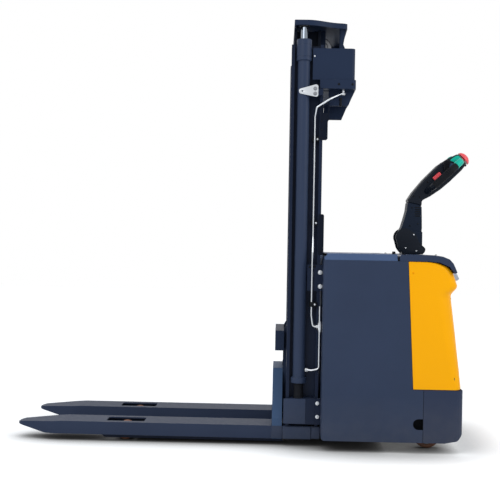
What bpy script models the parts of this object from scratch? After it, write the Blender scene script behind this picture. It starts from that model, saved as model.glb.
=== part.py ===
"""Pedestrian pallet stacker with a two-stage mast, straddle legs and a tiller.

Metres, +Z up. X runs from the fork tips (-X) to the tiller (+X), and x = 0 is the
front face of the fork heels. The near side, seen with X to the right, is -Y.
Every piece hangs on an empty that stands on its joint's axis, and all of them hang
on one empty that puts the middle of the footprint on the world's origin.
"""

import math

import bmesh
import bpy
from mathutils import Vector

# ---------------------------------------------------------------- driving sizes
GAP = 0.0003                 # between pieces that touch
RUN = 0.0005                 # running clearance round a roller or in a bore

FORK_LENGTH = 1.151
FORK_WIDTH = 0.164
FORK_OFFSET = 0.2015         # fork centre line from the middle of the machine
FORK_TOP = 0.086
FORK_DEPTH = 0.057
FORK_PLATE = 0.006
FORK_TIP_HEIGHT = 0.009
FORK_TIP_WIDTH = 0.070
FORK_NOSE_TOP = 0.210        # length over which the top slopes to the tip
FORK_NOSE_BELOW = 0.130      # length over which the underside rises
FORK_NOSE_PLAN = 0.170       # length over which the blade narrows
SLOT_START = 0.575           # slot over the load wheel, from the fork face
SLOT_LENGTH = 0.172
SLOT_WIDTH = 0.092
SLOT_CORNER = 0.012

HEEL_THICKNESS = 0.0445      # box behind the fork face
HEEL_SHOULDER = 0.123        # height where the back plate starts to narrow
HEEL_TOP = 0.324
HEEL_TOP_WIDTH = 0.270

LEG_WIDTH = 0.104
LEG_CLEARANCE = 0.012        # under the leg
LEG_HEIGHT = 0.056
LEG_REACH = 0.765
LEG_CHEEK = 0.011            # plate beside the load wheel
LOAD_WHEEL_RADIUS = 0.039
LOAD_WHEEL_WIDTH = 0.074
LOAD_AXLE_RADIUS = 0.009

MAST_AXIS_X = HEEL_THICKNESS + 0.0865    # middle of the rails, fore and aft
MAST_TOP = 1.777
OUTER_DEPTH = 0.142
OUTER_FLANGE = 0.014
OUTER_HALF_WIDTH = 0.042     # half of the flange, across
OUTER_OFFSET = 0.257         # web from the middle of the machine
INNER_DEPTH = 0.1185
INNER_FLANGE = 0.012
INNER_HALF_WIDTH = 0.035
WEB = 0.010
RAIL_SIDE_GAP = 0.001
INNER_BOTTOM = 0.105
INNER_TOP = MAST_TOP + 0.082
LIFT = 1.25                  # stroke of the inner mast, and of the carriage on it

BEAM_FRONT = HEEL_THICKNESS + 0.0039     # cross beam under the mast
BEAM_DEPTH = 0.126
BEAM_BOTTOM = 0.0305
BEAM_TOP = 0.088
BEAM_HALF_WIDTH = 0.300

ROLLER_WIDTH = 0.026
ROLLER_PIN_RADIUS = 0.013
OUTER_ROLLER_Z = MAST_TOP - 0.072
INNER_ROLLER_Z = 0.170
CARRIAGE_ROLLER_LOW = 0.185
CARRIAGE_ROLLER_HIGH = CARRIAGE_ROLLER_LOW + 0.285

CYLINDER_X = MAST_AXIS_X - 0.016
CYLINDER_RADIUS = 0.0265
CYLINDER_OUT = 0.036         # cylinder's axis outside the web's outer face
CYLINDER_SEAT = 0.2155
CYLINDER_HEAD = MAST_TOP - 0.0724
GLAND_TOP = MAST_TOP + 0.0224
GLAND_RADIUS = 0.033
COLLAR_RADIUS = 0.034
COLLAR_BOTTOM = 0.2827
COLLAR_TOP = 0.307
STEM_RADIUS = 0.0205
ROD_RADIUS = 0.016
ROD_BOTTOM = 0.350

CAP_PLATE = 0.006
CAP_HEIGHT = 0.0231
CAP_FRONT = MAST_AXIS_X - 0.0604
CAP_REAR = MAST_AXIS_X + 0.176
CAP_HALF_WIDTH = 0.3205
CAP_CORNER = 0.045
GUARD_OFFSET = 0.255         # plates that hang from the cap's rear

SHEAVE_RADIUS = 0.045
SHEAVE_FLANGE_RADIUS = 0.052
SHEAVE_WIDTH = 0.026
SHEAVE_OFFSET = 0.095
SHEAVE_X = MAST_AXIS_X + 0.059
SHEAVE_Z = INNER_TOP - 0.061
SHEAVE_CHEEK = 0.006
SHEAVE_PIN_RADIUS = 0.010
CHAIN_WIDTH = 0.014
CHAIN_DEPTH = 0.012

TIE_FRONT = MAST_AXIS_X + 0.023
TIE_REAR = MAST_AXIS_X + 0.2095
TIE_BOTTOM = MAST_TOP - 0.1535
TIE_TOP = MAST_TOP - 0.0162
TIE_PLATE = 0.006
TIE_CORNER = 0.020
TRAY_FRONT = MAST_AXIS_X + 0.056
TRAY_OVERHANG = 0.0054
TRAY_BOTTOM = TIE_BOTTOM - 0.0397
FIN_LENGTH = 0.118           # brackets under the tray
FIN_DEPTH = 0.068
FIN_PLATE = 0.006
FIN_OFFSET = 0.240

BRACKET_FRONT = MAST_AXIS_X + 0.014
BRACKET_BOTTOM = 0.690
BRACKET_TOP = 0.806

BODY_LENGTH = 0.611
BODY_FRONT = MAST_AXIS_X + 0.082
BODY_HALF_WIDTH = 0.400
BODY_BOTTOM = 0.047
BODY_TOP = 0.829
BODY_REAR = BODY_FRONT + BODY_LENGTH
BODY_SEAM_X = BODY_REAR - 0.173
BODY_CORNER = 0.014
SHEET = 0.004
LOWER_COVER_TOP = 0.2755
TIE_HOLE_Z = 0.1265
TIE_HOLE_RADIUS = 0.0235
YELLOW_FOOT_X = BODY_REAR - 0.219
YELLOW_HEAD_X = BODY_REAR - 0.248
MOULD = 0.005                # wall of the moulded covers
REAR_CORNER = 0.028
SEAM = 0.0018                # open seam between two covers

LID_REAR = BODY_REAR - 0.2929
LID_HEIGHT = 0.029
LID_CHAMFER = 0.022

BATTERY_END_ROOM = 0.021      # in front of the battery and behind it, for its crate
BATTERY_SIDE_ROOM = 0.070
BATTERY_TOP_ROOM = 0.239      # under the battery cover, for leads and plugs

FRAME_HALF_WIDTH = BODY_HALF_WIDTH - MOULD - GAP
FRAME_BOTTOM = 0.055
FRAME_TOP = 0.330
FRAME_REAR = BODY_REAR - 0.039
FRAME_PLATE = 0.008
FRAME_FLOOR = 0.010
BULKHEAD_X = BODY_REAR - 0.324
SILL_HALF_WIDTH = 0.250

STEER_X = BODY_REAR - 0.184
DRIVE_WHEEL_RADIUS = 0.115
DRIVE_WHEEL_WIDTH = 0.072
BEARING_RADIUS = 0.085
MOTOR_RADIUS = 0.076
MOTOR_HEIGHT = 0.245
GEARBOX_BOTTOM = 0.052
CASTER_X = STEER_X + 0.020
CASTER_OFFSET = 0.255
CASTER_WHEEL_RADIUS = 0.060
CASTER_WHEEL_WIDTH = 0.032
CASTER_TRAIL = 0.028
CASTER_AXLE_RADIUS = 0.007

HINGE_X = STEER_X - 0.037
DECK_TOP = BODY_TOP + 0.0285
HINGE_Z = DECK_TOP + 0.0792
HINGE_LOBE = 0.041
TILLER_HALF_WIDTH = 0.0445
TILLER_CHEEK = 0.0075
TILLER_PIN_RADIUS = 0.010

SIDES = {"left": 1, "right": -1}
ROUND = 24                   # facets round a small turned piece


# ---------------------------------------------------------------- places worked out
FORK_BOTTOM = FORK_TOP - FORK_DEPTH
OUTER_FRONT = MAST_AXIS_X - OUTER_DEPTH / 2
OUTER_REAR = MAST_AXIS_X + OUTER_DEPTH / 2
INNER_OFFSET = OUTER_OFFSET - OUTER_HALF_WIDTH - RAIL_SIDE_GAP - INNER_HALF_WIDTH
INNER_REAR = MAST_AXIS_X + INNER_DEPTH / 2
OUTER_TIP = OUTER_OFFSET + OUTER_HALF_WIDTH
OUTER_ROLLER_RADIUS = INNER_DEPTH / 2 - INNER_FLANGE - RUN
INNER_ROLLER_RADIUS = OUTER_DEPTH / 2 - OUTER_FLANGE - RUN
CYLINDER_Y = OUTER_OFFSET + WEB / 2 + CYLINDER_OUT
CAP_BOTTOM = INNER_TOP + GAP
CAP_TOP = CAP_BOTTOM + CAP_HEIGHT
CAP_UNDERSIDE = CAP_TOP - CAP_PLATE
LOAD_AXLE_X = -(SLOT_START + SLOT_LENGTH / 2)
LID_TOP = BODY_TOP + LID_HEIGHT
BATTERY_LENGTH = BULKHEAD_X - BODY_FRONT - 2 * BATTERY_END_ROOM
BATTERY_HALF_WIDTH = BODY_HALF_WIDTH - BATTERY_SIDE_ROOM
BATTERY_HEIGHT = BODY_TOP - BATTERY_TOP_ROOM


# ---------------------------------------------------------------- scene and materials
def clear_scene():
    """Remove whatever the file opened with."""
    for old in list(bpy.data.objects):
        bpy.data.objects.remove(old, do_unlink=True)


def new_collection(name):
    collection = bpy.data.collections.new(name)
    bpy.context.scene.collection.children.link(collection)
    return collection


def new_material(name, colour, roughness, metallic=0.0):
    material = bpy.data.materials.new(name)
    material.use_nodes = True
    shader = material.node_tree.nodes["Principled BSDF"]
    shader.inputs["Base Color"].default_value = (*colour, 1.0)
    shader.inputs["Roughness"].default_value = roughness
    shader.inputs["Metallic"].default_value = metallic
    material.diffuse_color = (*colour, 1.0)
    return material


clear_scene()
PARTS = new_collection("walkie_stacker")
CUTTERS = new_collection("cutters")

STEEL_PAINT = new_material("slate_paint", (0.030, 0.040, 0.068), 0.42)
MAST_PAINT = new_material("mast_paint", (0.022, 0.030, 0.056), 0.38)
FORK_PAINT = new_material("fork_paint", (0.036, 0.046, 0.072), 0.30)
YELLOW = new_material("yellow_cover", (0.98, 0.45, 0.004), 0.35)
DARK_PLASTIC = new_material("dark_plastic", (0.018, 0.022, 0.032), 0.48)
TILLER_PLASTIC = new_material("tiller_plastic", (0.010, 0.013, 0.022), 0.45)
ZINC = new_material("zinc_plate", (0.62, 0.64, 0.66), 0.32, 1.0)
CHROME = new_material("hard_chrome", (0.78, 0.79, 0.80), 0.12, 1.0)
BRIGHT_STEEL = new_material("bright_steel", (0.42, 0.43, 0.45), 0.35, 1.0)
CHAIN_STEEL = new_material("chain_steel", (0.16, 0.16, 0.17), 0.45, 1.0)
TYRE = new_material("polyurethane", (0.42, 0.10, 0.035), 0.50)
RED = new_material("red_plastic", (0.80, 0.035, 0.045), 0.30)
GREEN = new_material("green_plastic", (0.010, 0.52, 0.38), 0.35)
GREY = new_material("grey_panel", (0.42, 0.46, 0.52), 0.40)
BATTERY_BLACK = new_material("battery_case", (0.030, 0.030, 0.034), 0.55)


# ---------------------------------------------------------------- empties
BODIES = {}


def body(name, at=(0.0, 0.0, 0.0), parent=None):
    """An empty on a joint's axis. Its pieces are placed from the machine's zero."""
    empty = bpy.data.objects.new("at_" + name, None)
    PARTS.objects.link(empty)
    empty.empty_display_size = 0.05
    BODIES[name] = (empty, Vector(at))
    if parent:
        holder, held_at = BODIES[parent]
        empty.parent = holder
        empty.location = Vector(at) - held_at
    else:
        empty.location = at
    return empty


def hang(piece, name, material):
    """Hang a piece on a body's empty, keep its place, and give it its material."""
    empty, at = BODIES[name]
    piece.location = piece.location - at
    piece.parent = empty
    piece.data.materials.clear()
    piece.data.materials.append(material)
    return piece


# ---------------------------------------------------------------- shapes
PLANES = {
    "plan": (0.0, 0.0, 0.0),                         # outline in X and Y
    "side": (math.pi / 2, 0.0, 0.0),                 # outline in X and Z
    "front": (math.pi / 2, 0.0, math.pi / 2),        # outline in Y and Z
}
ALONG = {"plan": "z", "side": "y", "front": "x"}


def add_object(name, data, collection=None):
    piece = bpy.data.objects.new(name, data)
    (collection or PARTS).objects.link(piece)
    return piece


def block(name, x, y, z):
    """A box between two X, two Y and two Z values, with its origin in its middle."""
    size = Vector((x[1] - x[0], y[1] - y[0], z[1] - z[0]))
    shape = bmesh.new()
    bmesh.ops.create_cube(shape, size=1.0)
    bmesh.ops.scale(shape, vec=size, verts=shape.verts)
    mesh = bpy.data.meshes.new(name)
    shape.to_mesh(mesh)
    shape.free()
    piece = add_object(name, mesh)
    piece.location = ((x[0] + x[1]) / 2, (y[0] + y[1]) / 2, (z[0] + z[1]) / 2)
    return piece


def as_mesh(curve_piece):
    """The same piece as a closed mesh, so that a Boolean can use it."""
    name = curve_piece.name
    bpy.context.view_layer.update()
    graph = bpy.context.evaluated_depsgraph_get()
    mesh = bpy.data.meshes.new_from_object(curve_piece.evaluated_get(graph))
    place = curve_piece.matrix_world.copy()
    curve = curve_piece.data
    bpy.data.objects.remove(curve_piece, do_unlink=True)
    bpy.data.curves.remove(curve)
    shape = bmesh.new()
    shape.from_mesh(mesh)
    bmesh.ops.remove_doubles(shape, verts=shape.verts, dist=0.00001)
    bmesh.ops.recalc_face_normals(shape, faces=shape.faces)
    shape.to_mesh(mesh)
    shape.free()
    mesh.name = name
    piece = add_object(name, mesh)
    piece.matrix_world = place
    return piece


def plate(name, outline, plane, span, holes=()):
    """A flat outline given a thickness: span is where it starts and ends."""
    curve = bpy.data.curves.new(name, "CURVE")
    curve.dimensions = "2D"
    curve.fill_mode = "BOTH"
    curve.extrude = (span[1] - span[0]) / 2
    for loop in (outline, *holes):
        spline = curve.splines.new("POLY")
        spline.points.add(len(loop) - 1)
        for point, (u, v) in zip(spline.points, loop):
            point.co = (u, v, 0.0, 1.0)
        spline.use_cyclic_u = True
    piece = add_object(name, curve)
    piece.rotation_euler = PLANES[plane]
    setattr(piece.location, ALONG[plane], (span[0] + span[1]) / 2)
    return as_mesh(piece)


def turned(name, profile, at, axis="z", steps=ROUND, closed=True):
    """A profile of (radius, height) turned round an axis through a point."""
    shape = bmesh.new()
    points = [shape.verts.new((r, 0.0, h)) for r, h in profile]
    for first, second in zip(points, points[1:]):
        shape.edges.new((first, second))
    if closed:
        shape.edges.new((points[-1], points[0]))
    mesh = bpy.data.meshes.new(name)
    shape.to_mesh(mesh)
    shape.free()
    piece = add_object(name, mesh)
    screw = piece.modifiers.new("turn", "SCREW")
    screw.steps = steps
    screw.render_steps = steps
    screw.use_merge_vertices = True
    screw.merge_threshold = 0.0001
    screw.use_smooth_shade = True
    piece.location = at
    if axis == "y":
        piece.rotation_euler = (math.pi / 2, 0.0, 0.0)
    if axis == "x":
        piece.rotation_euler = (0.0, math.pi / 2, 0.0)
    return piece


def pin(name, radius, length, at, axis="z", steps=ROUND):
    """A plain round bar with its middle at a point."""
    shape = bmesh.new()
    bmesh.ops.create_cone(shape, cap_ends=True, segments=steps, radius1=radius,
                          radius2=radius, depth=length)
    mesh = bpy.data.meshes.new(name)
    shape.to_mesh(mesh)
    shape.free()
    piece = add_object(name, mesh)
    piece.location = at
    if axis == "y":
        piece.rotation_euler = (math.pi / 2, 0.0, 0.0)
    if axis == "x":
        piece.rotation_euler = (0.0, math.pi / 2, 0.0)
    return piece


def tube(name, points, radius, resolution=2):
    """A bent tube through points, with closed ends."""
    curve = bpy.data.curves.new(name, "CURVE")
    curve.dimensions = "3D"
    curve.bevel_depth = radius
    curve.bevel_resolution = resolution
    curve.use_fill_caps = True
    spline = curve.splines.new("POLY")
    spline.points.add(len(points) - 1)
    for point, place in zip(spline.points, points):
        point.co = (*place, 1.0)
    return as_mesh(add_object(name, curve))


def change(piece, tool, operation):
    """A Boolean of a piece with a tool, which moves to the cutters."""
    step = piece.modifiers.new(tool.name, "BOOLEAN")
    step.operation = operation
    step.solver = "EXACT"
    step.object = tool
    tool.hide_render = True
    tool.display_type = "WIRE"
    PARTS.objects.unlink(tool)
    CUTTERS.objects.link(tool)
    root = BODIES["chassis"][0]
    tool.parent = root


def cut(piece, *tools):
    for tool in tools:
        change(piece, tool, "DIFFERENCE")
    return piece


def join(piece, *tools):
    for tool in tools:
        change(piece, tool, "UNION")
    return piece


def round_edges(piece, width, segments=2, angle=40.0):
    step = piece.modifiers.new("rounded", "BEVEL")
    step.width = width
    step.segments = segments
    step.limit_method = "ANGLE"
    step.angle_limit = math.radians(angle)
    return piece


def arc(centre, radius, start, end, count):
    """Points on an arc, angles in degrees."""
    points = []
    for index in range(count + 1):
        angle = math.radians(start + (end - start) * index / count)
        points.append((centre[0] + radius * math.cos(angle),
                       centre[1] + radius * math.sin(angle)))
    return points


def circle(centre, radius, count=ROUND):
    return arc(centre, radius, 0.0, 360.0 * (count - 1) / count, count - 1)


def rounded(outline, radii, count=4):
    """An outline whose corner i is rounded with radii[i], or with one radius."""
    if not isinstance(radii, (list, tuple)):
        radii = [radii] * len(outline)
    points = []
    for index, corner in enumerate(outline):
        corner = Vector(corner)
        before = Vector(outline[index - 1])
        after = Vector(outline[(index + 1) % len(outline)])
        radius = radii[index]
        if not radius:
            points.append(tuple(corner))
            continue
        back = (before - corner).normalized()
        forth = (after - corner).normalized()
        half = back.angle(forth) / 2
        reach = radius / math.tan(half)
        centre = corner + (back + forth).normalized() * (radius / math.sin(half))
        first = corner + back * reach - centre
        last = corner + forth * reach - centre
        turn = first.angle_signed(last)
        for step in range(count + 1):
            angle = -turn * step / count
            spoke = Vector((first.x * math.cos(angle) - first.y * math.sin(angle),
                            first.x * math.sin(angle) + first.y * math.cos(angle)))
            points.append(tuple(centre + spoke))
    return points


def bent(points, radius, count=4):
    """A route in space whose inner corners are rounded."""
    route = [Vector(points[0])]
    for before, corner, after in zip(points, points[1:], points[2:]):
        corner = Vector(corner)
        back = (Vector(before) - corner).normalized()
        forth = (Vector(after) - corner).normalized()
        half = back.angle(forth) / 2
        reach = radius / math.tan(half)
        start = corner + back * reach
        end = corner + forth * reach
        for step in range(count + 1):
            t = step / count
            route.append(start.lerp(corner, t).lerp(corner.lerp(end, t), t))
    route.append(Vector(points[-1]))
    return route


def rectangle(x, y):
    return [(x[0], y[0]), (x[1], y[0]), (x[1], y[1]), (x[0], y[1])]


def both(side, near, far):
    """The two Y values of a piece that spans near to far from the middle."""
    return tuple(sorted((side * near, side * far)))


# ---------------------------------------------------------------- forks and legs
def build_fork(name, side):
    """A wrap-over blade: an inverted channel with a tapered, rounded nose."""
    tip = -FORK_LENGTH
    middle = FORK_TOP - FORK_DEPTH * 0.36
    profile = [
        (-GAP, FORK_BOTTOM),
        (-GAP, FORK_TOP),
        (tip + FORK_NOSE_TOP, FORK_TOP),
        (tip + 0.02, middle + FORK_TIP_HEIGHT),
        (tip, middle + FORK_TIP_HEIGHT / 2),
        (tip, middle - FORK_TIP_HEIGHT / 2),
        (tip + 0.02, middle - FORK_TIP_HEIGHT),
        (tip + FORK_NOSE_BELOW, FORK_BOTTOM),
    ]
    half = FORK_WIDTH / 2
    nose = FORK_TIP_WIDTH / 2
    plan = [
        (HEEL_THICKNESS, -half),
        (HEEL_THICKNESS, half),
        (tip + FORK_NOSE_PLAN, half),
        (tip, nose),
        (tip, -nose),
        (tip + FORK_NOSE_PLAN, -half),
    ]
    centre = side * FORK_OFFSET
    fork = plate(name, rounded(profile, [0, 0, 0.12, 0.02, 0.003, 0.003, 0.02, 0.10], 3),
                 "side", (centre - half - 0.01, centre + half + 0.01))
    blank = plate(name + "_plan", rounded(plan, [0, 0, 0.15, 0.034, 0.034, 0.15], 4),
                  "plan", (0.0, 0.2))
    blank.location.y = centre
    change(fork, blank, "INTERSECT")
    inside = half - FORK_PLATE
    channel = block(name + "_channel", (tip + 0.215, HEEL_THICKNESS + 0.05),
                    (centre - inside, centre + inside), (-0.05, FORK_TOP - FORK_PLATE))
    slot = plate(name + "_slot",
                 rounded(rectangle((-SLOT_START - SLOT_LENGTH, -SLOT_START),
                                   (-SLOT_WIDTH / 2, SLOT_WIDTH / 2)), SLOT_CORNER, 3),
                 "plan", (FORK_TOP - 0.02, FORK_TOP + 0.02))
    slot.location.y = centre
    cut(fork, channel, slot)
    hang(fork, "carriage", FORK_PAINT)


def build_heel():
    """The box across the fork heels, with the forks' section below and a trapezoid above."""
    wide = FORK_OFFSET + FORK_WIDTH / 2
    near = FORK_OFFSET - FORK_WIDTH / 2
    roof = FORK_TOP - FORK_PLATE
    half = [(near, FORK_TOP), (near, FORK_BOTTOM), (near + FORK_PLATE, FORK_BOTTOM),
            (near + FORK_PLATE, roof), (wide - FORK_PLATE, roof), (wide - FORK_PLATE, FORK_BOTTOM),
            (wide, FORK_BOTTOM), (wide, HEEL_SHOULDER), (HEEL_TOP_WIDTH / 2, HEEL_TOP)]
    outline = half + [(-across, up) for across, up in half[::-1]]
    radii = [0, 0, 0, 0, 0, 0, 0, 0.012, 0.008]
    heel = plate("fork_back_plate", rounded(outline, radii + radii[::-1], 2), "front",
                 (0.0, HEEL_THICKNESS))
    window = plate("heel_window",
                   rounded(rectangle((-0.060, 0.060), (HEEL_TOP - 0.159, HEEL_TOP - 0.059)), 0.018, 4),
                   "front", (-0.02, HEEL_THICKNESS + 0.02))
    cut(heel, window)
    hang(heel, "carriage", STEEL_PAINT)


def build_leg(name, side):
    """A straddle leg inside the fork, open at its tip for the load wheel."""
    centre = side * FORK_OFFSET
    half = LEG_WIDTH / 2
    low, high = LEG_CLEARANCE, LEG_CLEARANCE + LEG_HEIGHT
    profile = rounded([(-LEG_REACH, low), (BEAM_FRONT - GAP, low), (BEAM_FRONT - GAP, high),
                       (-LEG_REACH, high)], [0.020, 0, 0, 0.024], 3)
    leg = plate(name, profile, "side", (centre - half, centre + half))
    mouth = LOAD_AXLE_X + LOAD_WHEEL_RADIUS + 0.012
    gap = half - LEG_CHEEK
    pocket = block(name + "_pocket", (-LEG_REACH - 0.02, mouth),
                   (centre - gap, centre + gap), (-0.02, 0.12))
    axle = pin(name + "_axle", LOAD_AXLE_RADIUS, LEG_WIDTH - 0.004,
               (LOAD_AXLE_X, centre, LOAD_WHEEL_RADIUS), "y", 16)
    cut(leg, pocket)
    join(leg, axle)
    hang(leg, "chassis", MAST_PAINT)


def wheel(name, radius, width, bore, at, shoulder, steps=ROUND):
    """A roller or wheel with chamfered shoulders and a bore, turned round Y."""
    half = width / 2
    profile = [(radius - shoulder, half), (radius, half - shoulder), (radius, -half + shoulder),
               (radius - shoulder, -half), (bore, -half), (bore, half)]
    return turned(name, profile, at, "y", steps)


# ---------------------------------------------------------------- mast
def rail_section(offset, depth, flange, half_width):
    """An I section in plan: two flanges across, one web fore and aft."""
    front, rear = MAST_AXIS_X - depth / 2, MAST_AXIS_X + depth / 2
    near, far = offset - half_width, offset + half_width
    inner, outer = offset - WEB / 2, offset + WEB / 2
    return [(front, near), (front, far), (front + flange, far), (front + flange, outer),
            (rear - flange, outer), (rear - flange, far), (rear, far), (rear, near),
            (rear - flange, near), (rear - flange, inner), (front + flange, inner),
            (front + flange, near)]


def build_outer_rail(name, side):
    """An outer rail with its roller pin at the top and the cylinder's foot outside."""
    section = rail_section(side * OUTER_OFFSET, OUTER_DEPTH, OUTER_FLANGE, OUTER_HALF_WIDTH)
    rail = plate(name, section, "plan", (BEAM_TOP + GAP, MAST_TOP))
    web = OUTER_OFFSET - WEB / 2
    reach = INNER_OFFSET + WEB / 2 + 0.003
    roller_pin = pin(name + "_pin", ROLLER_PIN_RADIUS, web + 0.005 - reach,
                     (MAST_AXIS_X, side * (web + 0.005 + reach) / 2, OUTER_ROLLER_Z), "y", 16)
    foot = block(name + "_foot", (OUTER_FRONT + 0.016, OUTER_REAR - 0.015),
                 both(side, OUTER_OFFSET, CYLINDER_Y + 0.018), (BEAM_TOP + 0.013, CYLINDER_SEAT))
    ear = block(name + "_ear", (OUTER_REAR - 0.030, BODY_FRONT - GAP),
                both(side, OUTER_TIP + GAP, CYLINDER_Y + 0.0175), (BEAM_TOP + 0.013, CYLINDER_SEAT))
    join(rail, roller_pin, foot, ear)
    hang(rail, "chassis", MAST_PAINT)


def build_inner_rail(name, side):
    """An inner rail, nested in the outer one, with its roller pin at the foot."""
    section = rail_section(side * INNER_OFFSET, INNER_DEPTH, INNER_FLANGE, INNER_HALF_WIDTH)
    rail = plate(name, section, "plan", (INNER_BOTTOM, INNER_TOP))
    web = INNER_OFFSET + WEB / 2
    reach = OUTER_OFFSET - WEB / 2 - 0.003
    roller_pin = pin(name + "_pin", ROLLER_PIN_RADIUS, reach - web + 0.005,
                     (MAST_AXIS_X, side * (reach + web - 0.005) / 2, INNER_ROLLER_Z), "y", 16)
    join(rail, roller_pin)
    hang(rail, "inner_mast", MAST_PAINT)


def build_base_beam():
    beam = block("mast_base_beam", (BEAM_FRONT, BEAM_FRONT + BEAM_DEPTH),
                 (-BEAM_HALF_WIDTH, BEAM_HALF_WIDTH), (BEAM_BOTTOM, BEAM_TOP))
    round_edges(beam, 0.003, 1)
    hang(beam, "chassis", MAST_PAINT)


def u_plate(front, rear, half_width, thickness, corner):
    """Plan outline of a plate bent into a U that opens to the front."""
    outer = rounded([(front, half_width), (rear, half_width), (rear, -half_width),
                     (front, -half_width)], [0, corner, corner, 0], 4)
    inner = rounded([(front, -half_width + thickness), (rear - thickness, -half_width + thickness),
                     (rear - thickness, half_width - thickness), (front, half_width - thickness)],
                    [0, corner - thickness, corner - thickness, 0], 4)
    return outer + inner


def build_top_tie():
    """The bent plate that ties the outer rails behind their tops, and the tray under it."""
    half = OUTER_TIP + GAP + TIE_PLATE
    tie = plate("outer_top_tie", u_plate(TIE_FRONT, TIE_REAR, half, TIE_PLATE, TIE_CORNER),
                "plan", (TIE_BOTTOM - 0.001, TIE_TOP))
    wide = half + TRAY_OVERHANG / 2
    rear = TIE_REAR + TRAY_OVERHANG
    tray = plate("tie_tray",
                 rounded([(TRAY_FRONT, -wide), (rear, -wide), (rear, wide), (TRAY_FRONT, wide)],
                         [0, TIE_CORNER, TIE_CORNER, 0], 4), "plan", (TRAY_BOTTOM, TIE_BOTTOM))
    hollow = block("tray_hollow", (OUTER_REAR + 0.010, TIE_REAR - TIE_PLATE - 0.004),
                   (-half + TIE_PLATE + 0.004, half - TIE_PLATE - 0.004),
                   (TRAY_BOTTOM + TIE_PLATE, TIE_BOTTOM + 0.05))
    mouth = block("tray_mouth", (TRAY_FRONT - 0.05, OUTER_REAR + GAP),
                  (-OUTER_TIP - GAP, OUTER_TIP + GAP), (TRAY_BOTTOM - 0.05, TIE_BOTTOM + 0.05))
    join(tie, tray)
    cut(tie, hollow, mouth)
    for sign in SIDES.values():
        anchor = pin("chain_anchor", 0.010, 0.034,
                     (SHEAVE_X + SHEAVE_RADIUS + CHAIN_DEPTH / 2, sign * SHEAVE_OFFSET,
                      TRAY_BOTTOM + 0.019), "z", 12)
        fin = [(rear - FIN_LENGTH, TRAY_BOTTOM + 0.002), (rear - 0.001, TRAY_BOTTOM + 0.002),
               (rear - 0.030, TRAY_BOTTOM - FIN_DEPTH), (rear - FIN_LENGTH, TRAY_BOTTOM - FIN_DEPTH)]
        join(tie, anchor,
             plate("tray_fin", fin, "side", both(sign, FIN_OFFSET, FIN_OFFSET + FIN_PLATE)))
    hang(tie, "chassis", STEEL_PAINT)


def build_mast_bracket():
    """The U plate that bolts the mast to the front of the body."""
    half = OUTER_TIP + GAP + TIE_PLATE
    front = BRACKET_FRONT
    shape = [(front, half), (BODY_FRONT - GAP, half), (BODY_FRONT - GAP, -half), (front, -half),
             (front, -half + TIE_PLATE), (OUTER_REAR + GAP, -half + TIE_PLATE),
             (OUTER_REAR + GAP, half - TIE_PLATE), (front, half - TIE_PLATE)]
    bracket = plate("mast_bracket", shape, "plan", (BRACKET_BOTTOM, BRACKET_TOP))
    hang(bracket, "chassis", STEEL_PAINT)


def build_lower_tie():
    """The plate across the foot of the inner rails."""
    half = INNER_OFFSET + INNER_HALF_WIDTH - 0.002
    foot = INNER_BOTTOM + 0.015
    tie = plate("inner_lower_tie", rounded(rectangle((-half, half), (foot, foot + 0.110)), 0.008, 2),
                "front", (INNER_REAR + GAP, OUTER_REAR - 0.002))
    hang(tie, "inner_mast", MAST_PAINT)


def build_cap():
    """The cap over the inner rails, with the clevises that hold the chain sheaves."""
    outline = rounded(rectangle((CAP_FRONT, CAP_REAR), (-CAP_HALF_WIDTH, CAP_HALF_WIDTH)),
                      [0.006, CAP_CORNER, CAP_CORNER, 0.006], 5)
    cap = plate("inner_mast_cap", outline, "plan", (CAP_BOTTOM, CAP_TOP))
    inset = CAP_PLATE
    room = rectangle((CAP_FRONT + inset, CAP_REAR - inset),
                     (-CAP_HALF_WIDTH + inset, CAP_HALF_WIDTH - inset))
    under = rounded(room, [0.002, CAP_CORNER - inset, CAP_CORNER - inset, 0.002], 5)
    hollow = plate("cap_hollow", under, "plan", (CAP_BOTTOM - 0.05, CAP_UNDERSIDE))
    cut(cap, hollow)
    for sign in SIDES.values():
        middle = sign * SHEAVE_OFFSET
        inner = SHEAVE_WIDTH / 2 + 2 * RUN
        for end in (-1, 1):
            low, high = sorted((middle + end * inner, middle + end * (inner + SHEAVE_CHEEK)))
            shape = rounded(rectangle((SHEAVE_X - 0.026, SHEAVE_X + 0.026),
                                      (SHEAVE_Z - 0.024, CAP_UNDERSIDE + 0.002)),
                            [0.018, 0.018, 0, 0], 3)
            join(cap, plate("sheave_cheek", shape, "side", (low, high)))
        join(cap, pin("sheave_pin", SHEAVE_PIN_RADIUS, 2 * (inner + SHEAVE_CHEEK) + 0.006,
                      (SHEAVE_X, middle, SHEAVE_Z), "y", 12))
        low = TIE_TOP + 0.005
        guard = [(CAP_REAR - 0.034, CAP_UNDERSIDE + 0.002), (CAP_REAR - 0.003, CAP_UNDERSIDE + 0.002),
                 (CAP_REAR - 0.016, low + 0.027), (CAP_REAR - 0.003, low), (CAP_REAR - 0.034, low)]
        join(cap, plate("cap_guard", guard, "side", both(sign, GUARD_OFFSET, GUARD_OFFSET + 0.006)))
    hang(cap, "inner_mast", STEEL_PAINT)


def build_sheave(name, side):
    """A grooved chain sheave."""
    half = SHEAVE_WIDTH / 2
    groove = CHAIN_WIDTH / 2 + 0.001
    bore = SHEAVE_PIN_RADIUS + RUN
    profile = [(SHEAVE_FLANGE_RADIUS, half), (SHEAVE_FLANGE_RADIUS, groove + 0.001),
               (SHEAVE_RADIUS - GAP, groove), (SHEAVE_RADIUS - GAP, -groove),
               (SHEAVE_FLANGE_RADIUS, -groove - 0.001), (SHEAVE_FLANGE_RADIUS, -half),
               (bore, -half), (bore, half)]
    sheave = turned(name, profile, (SHEAVE_X, side * SHEAVE_OFFSET, SHEAVE_Z), "y")
    hang(sheave, name, BRIGHT_STEEL)


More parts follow.
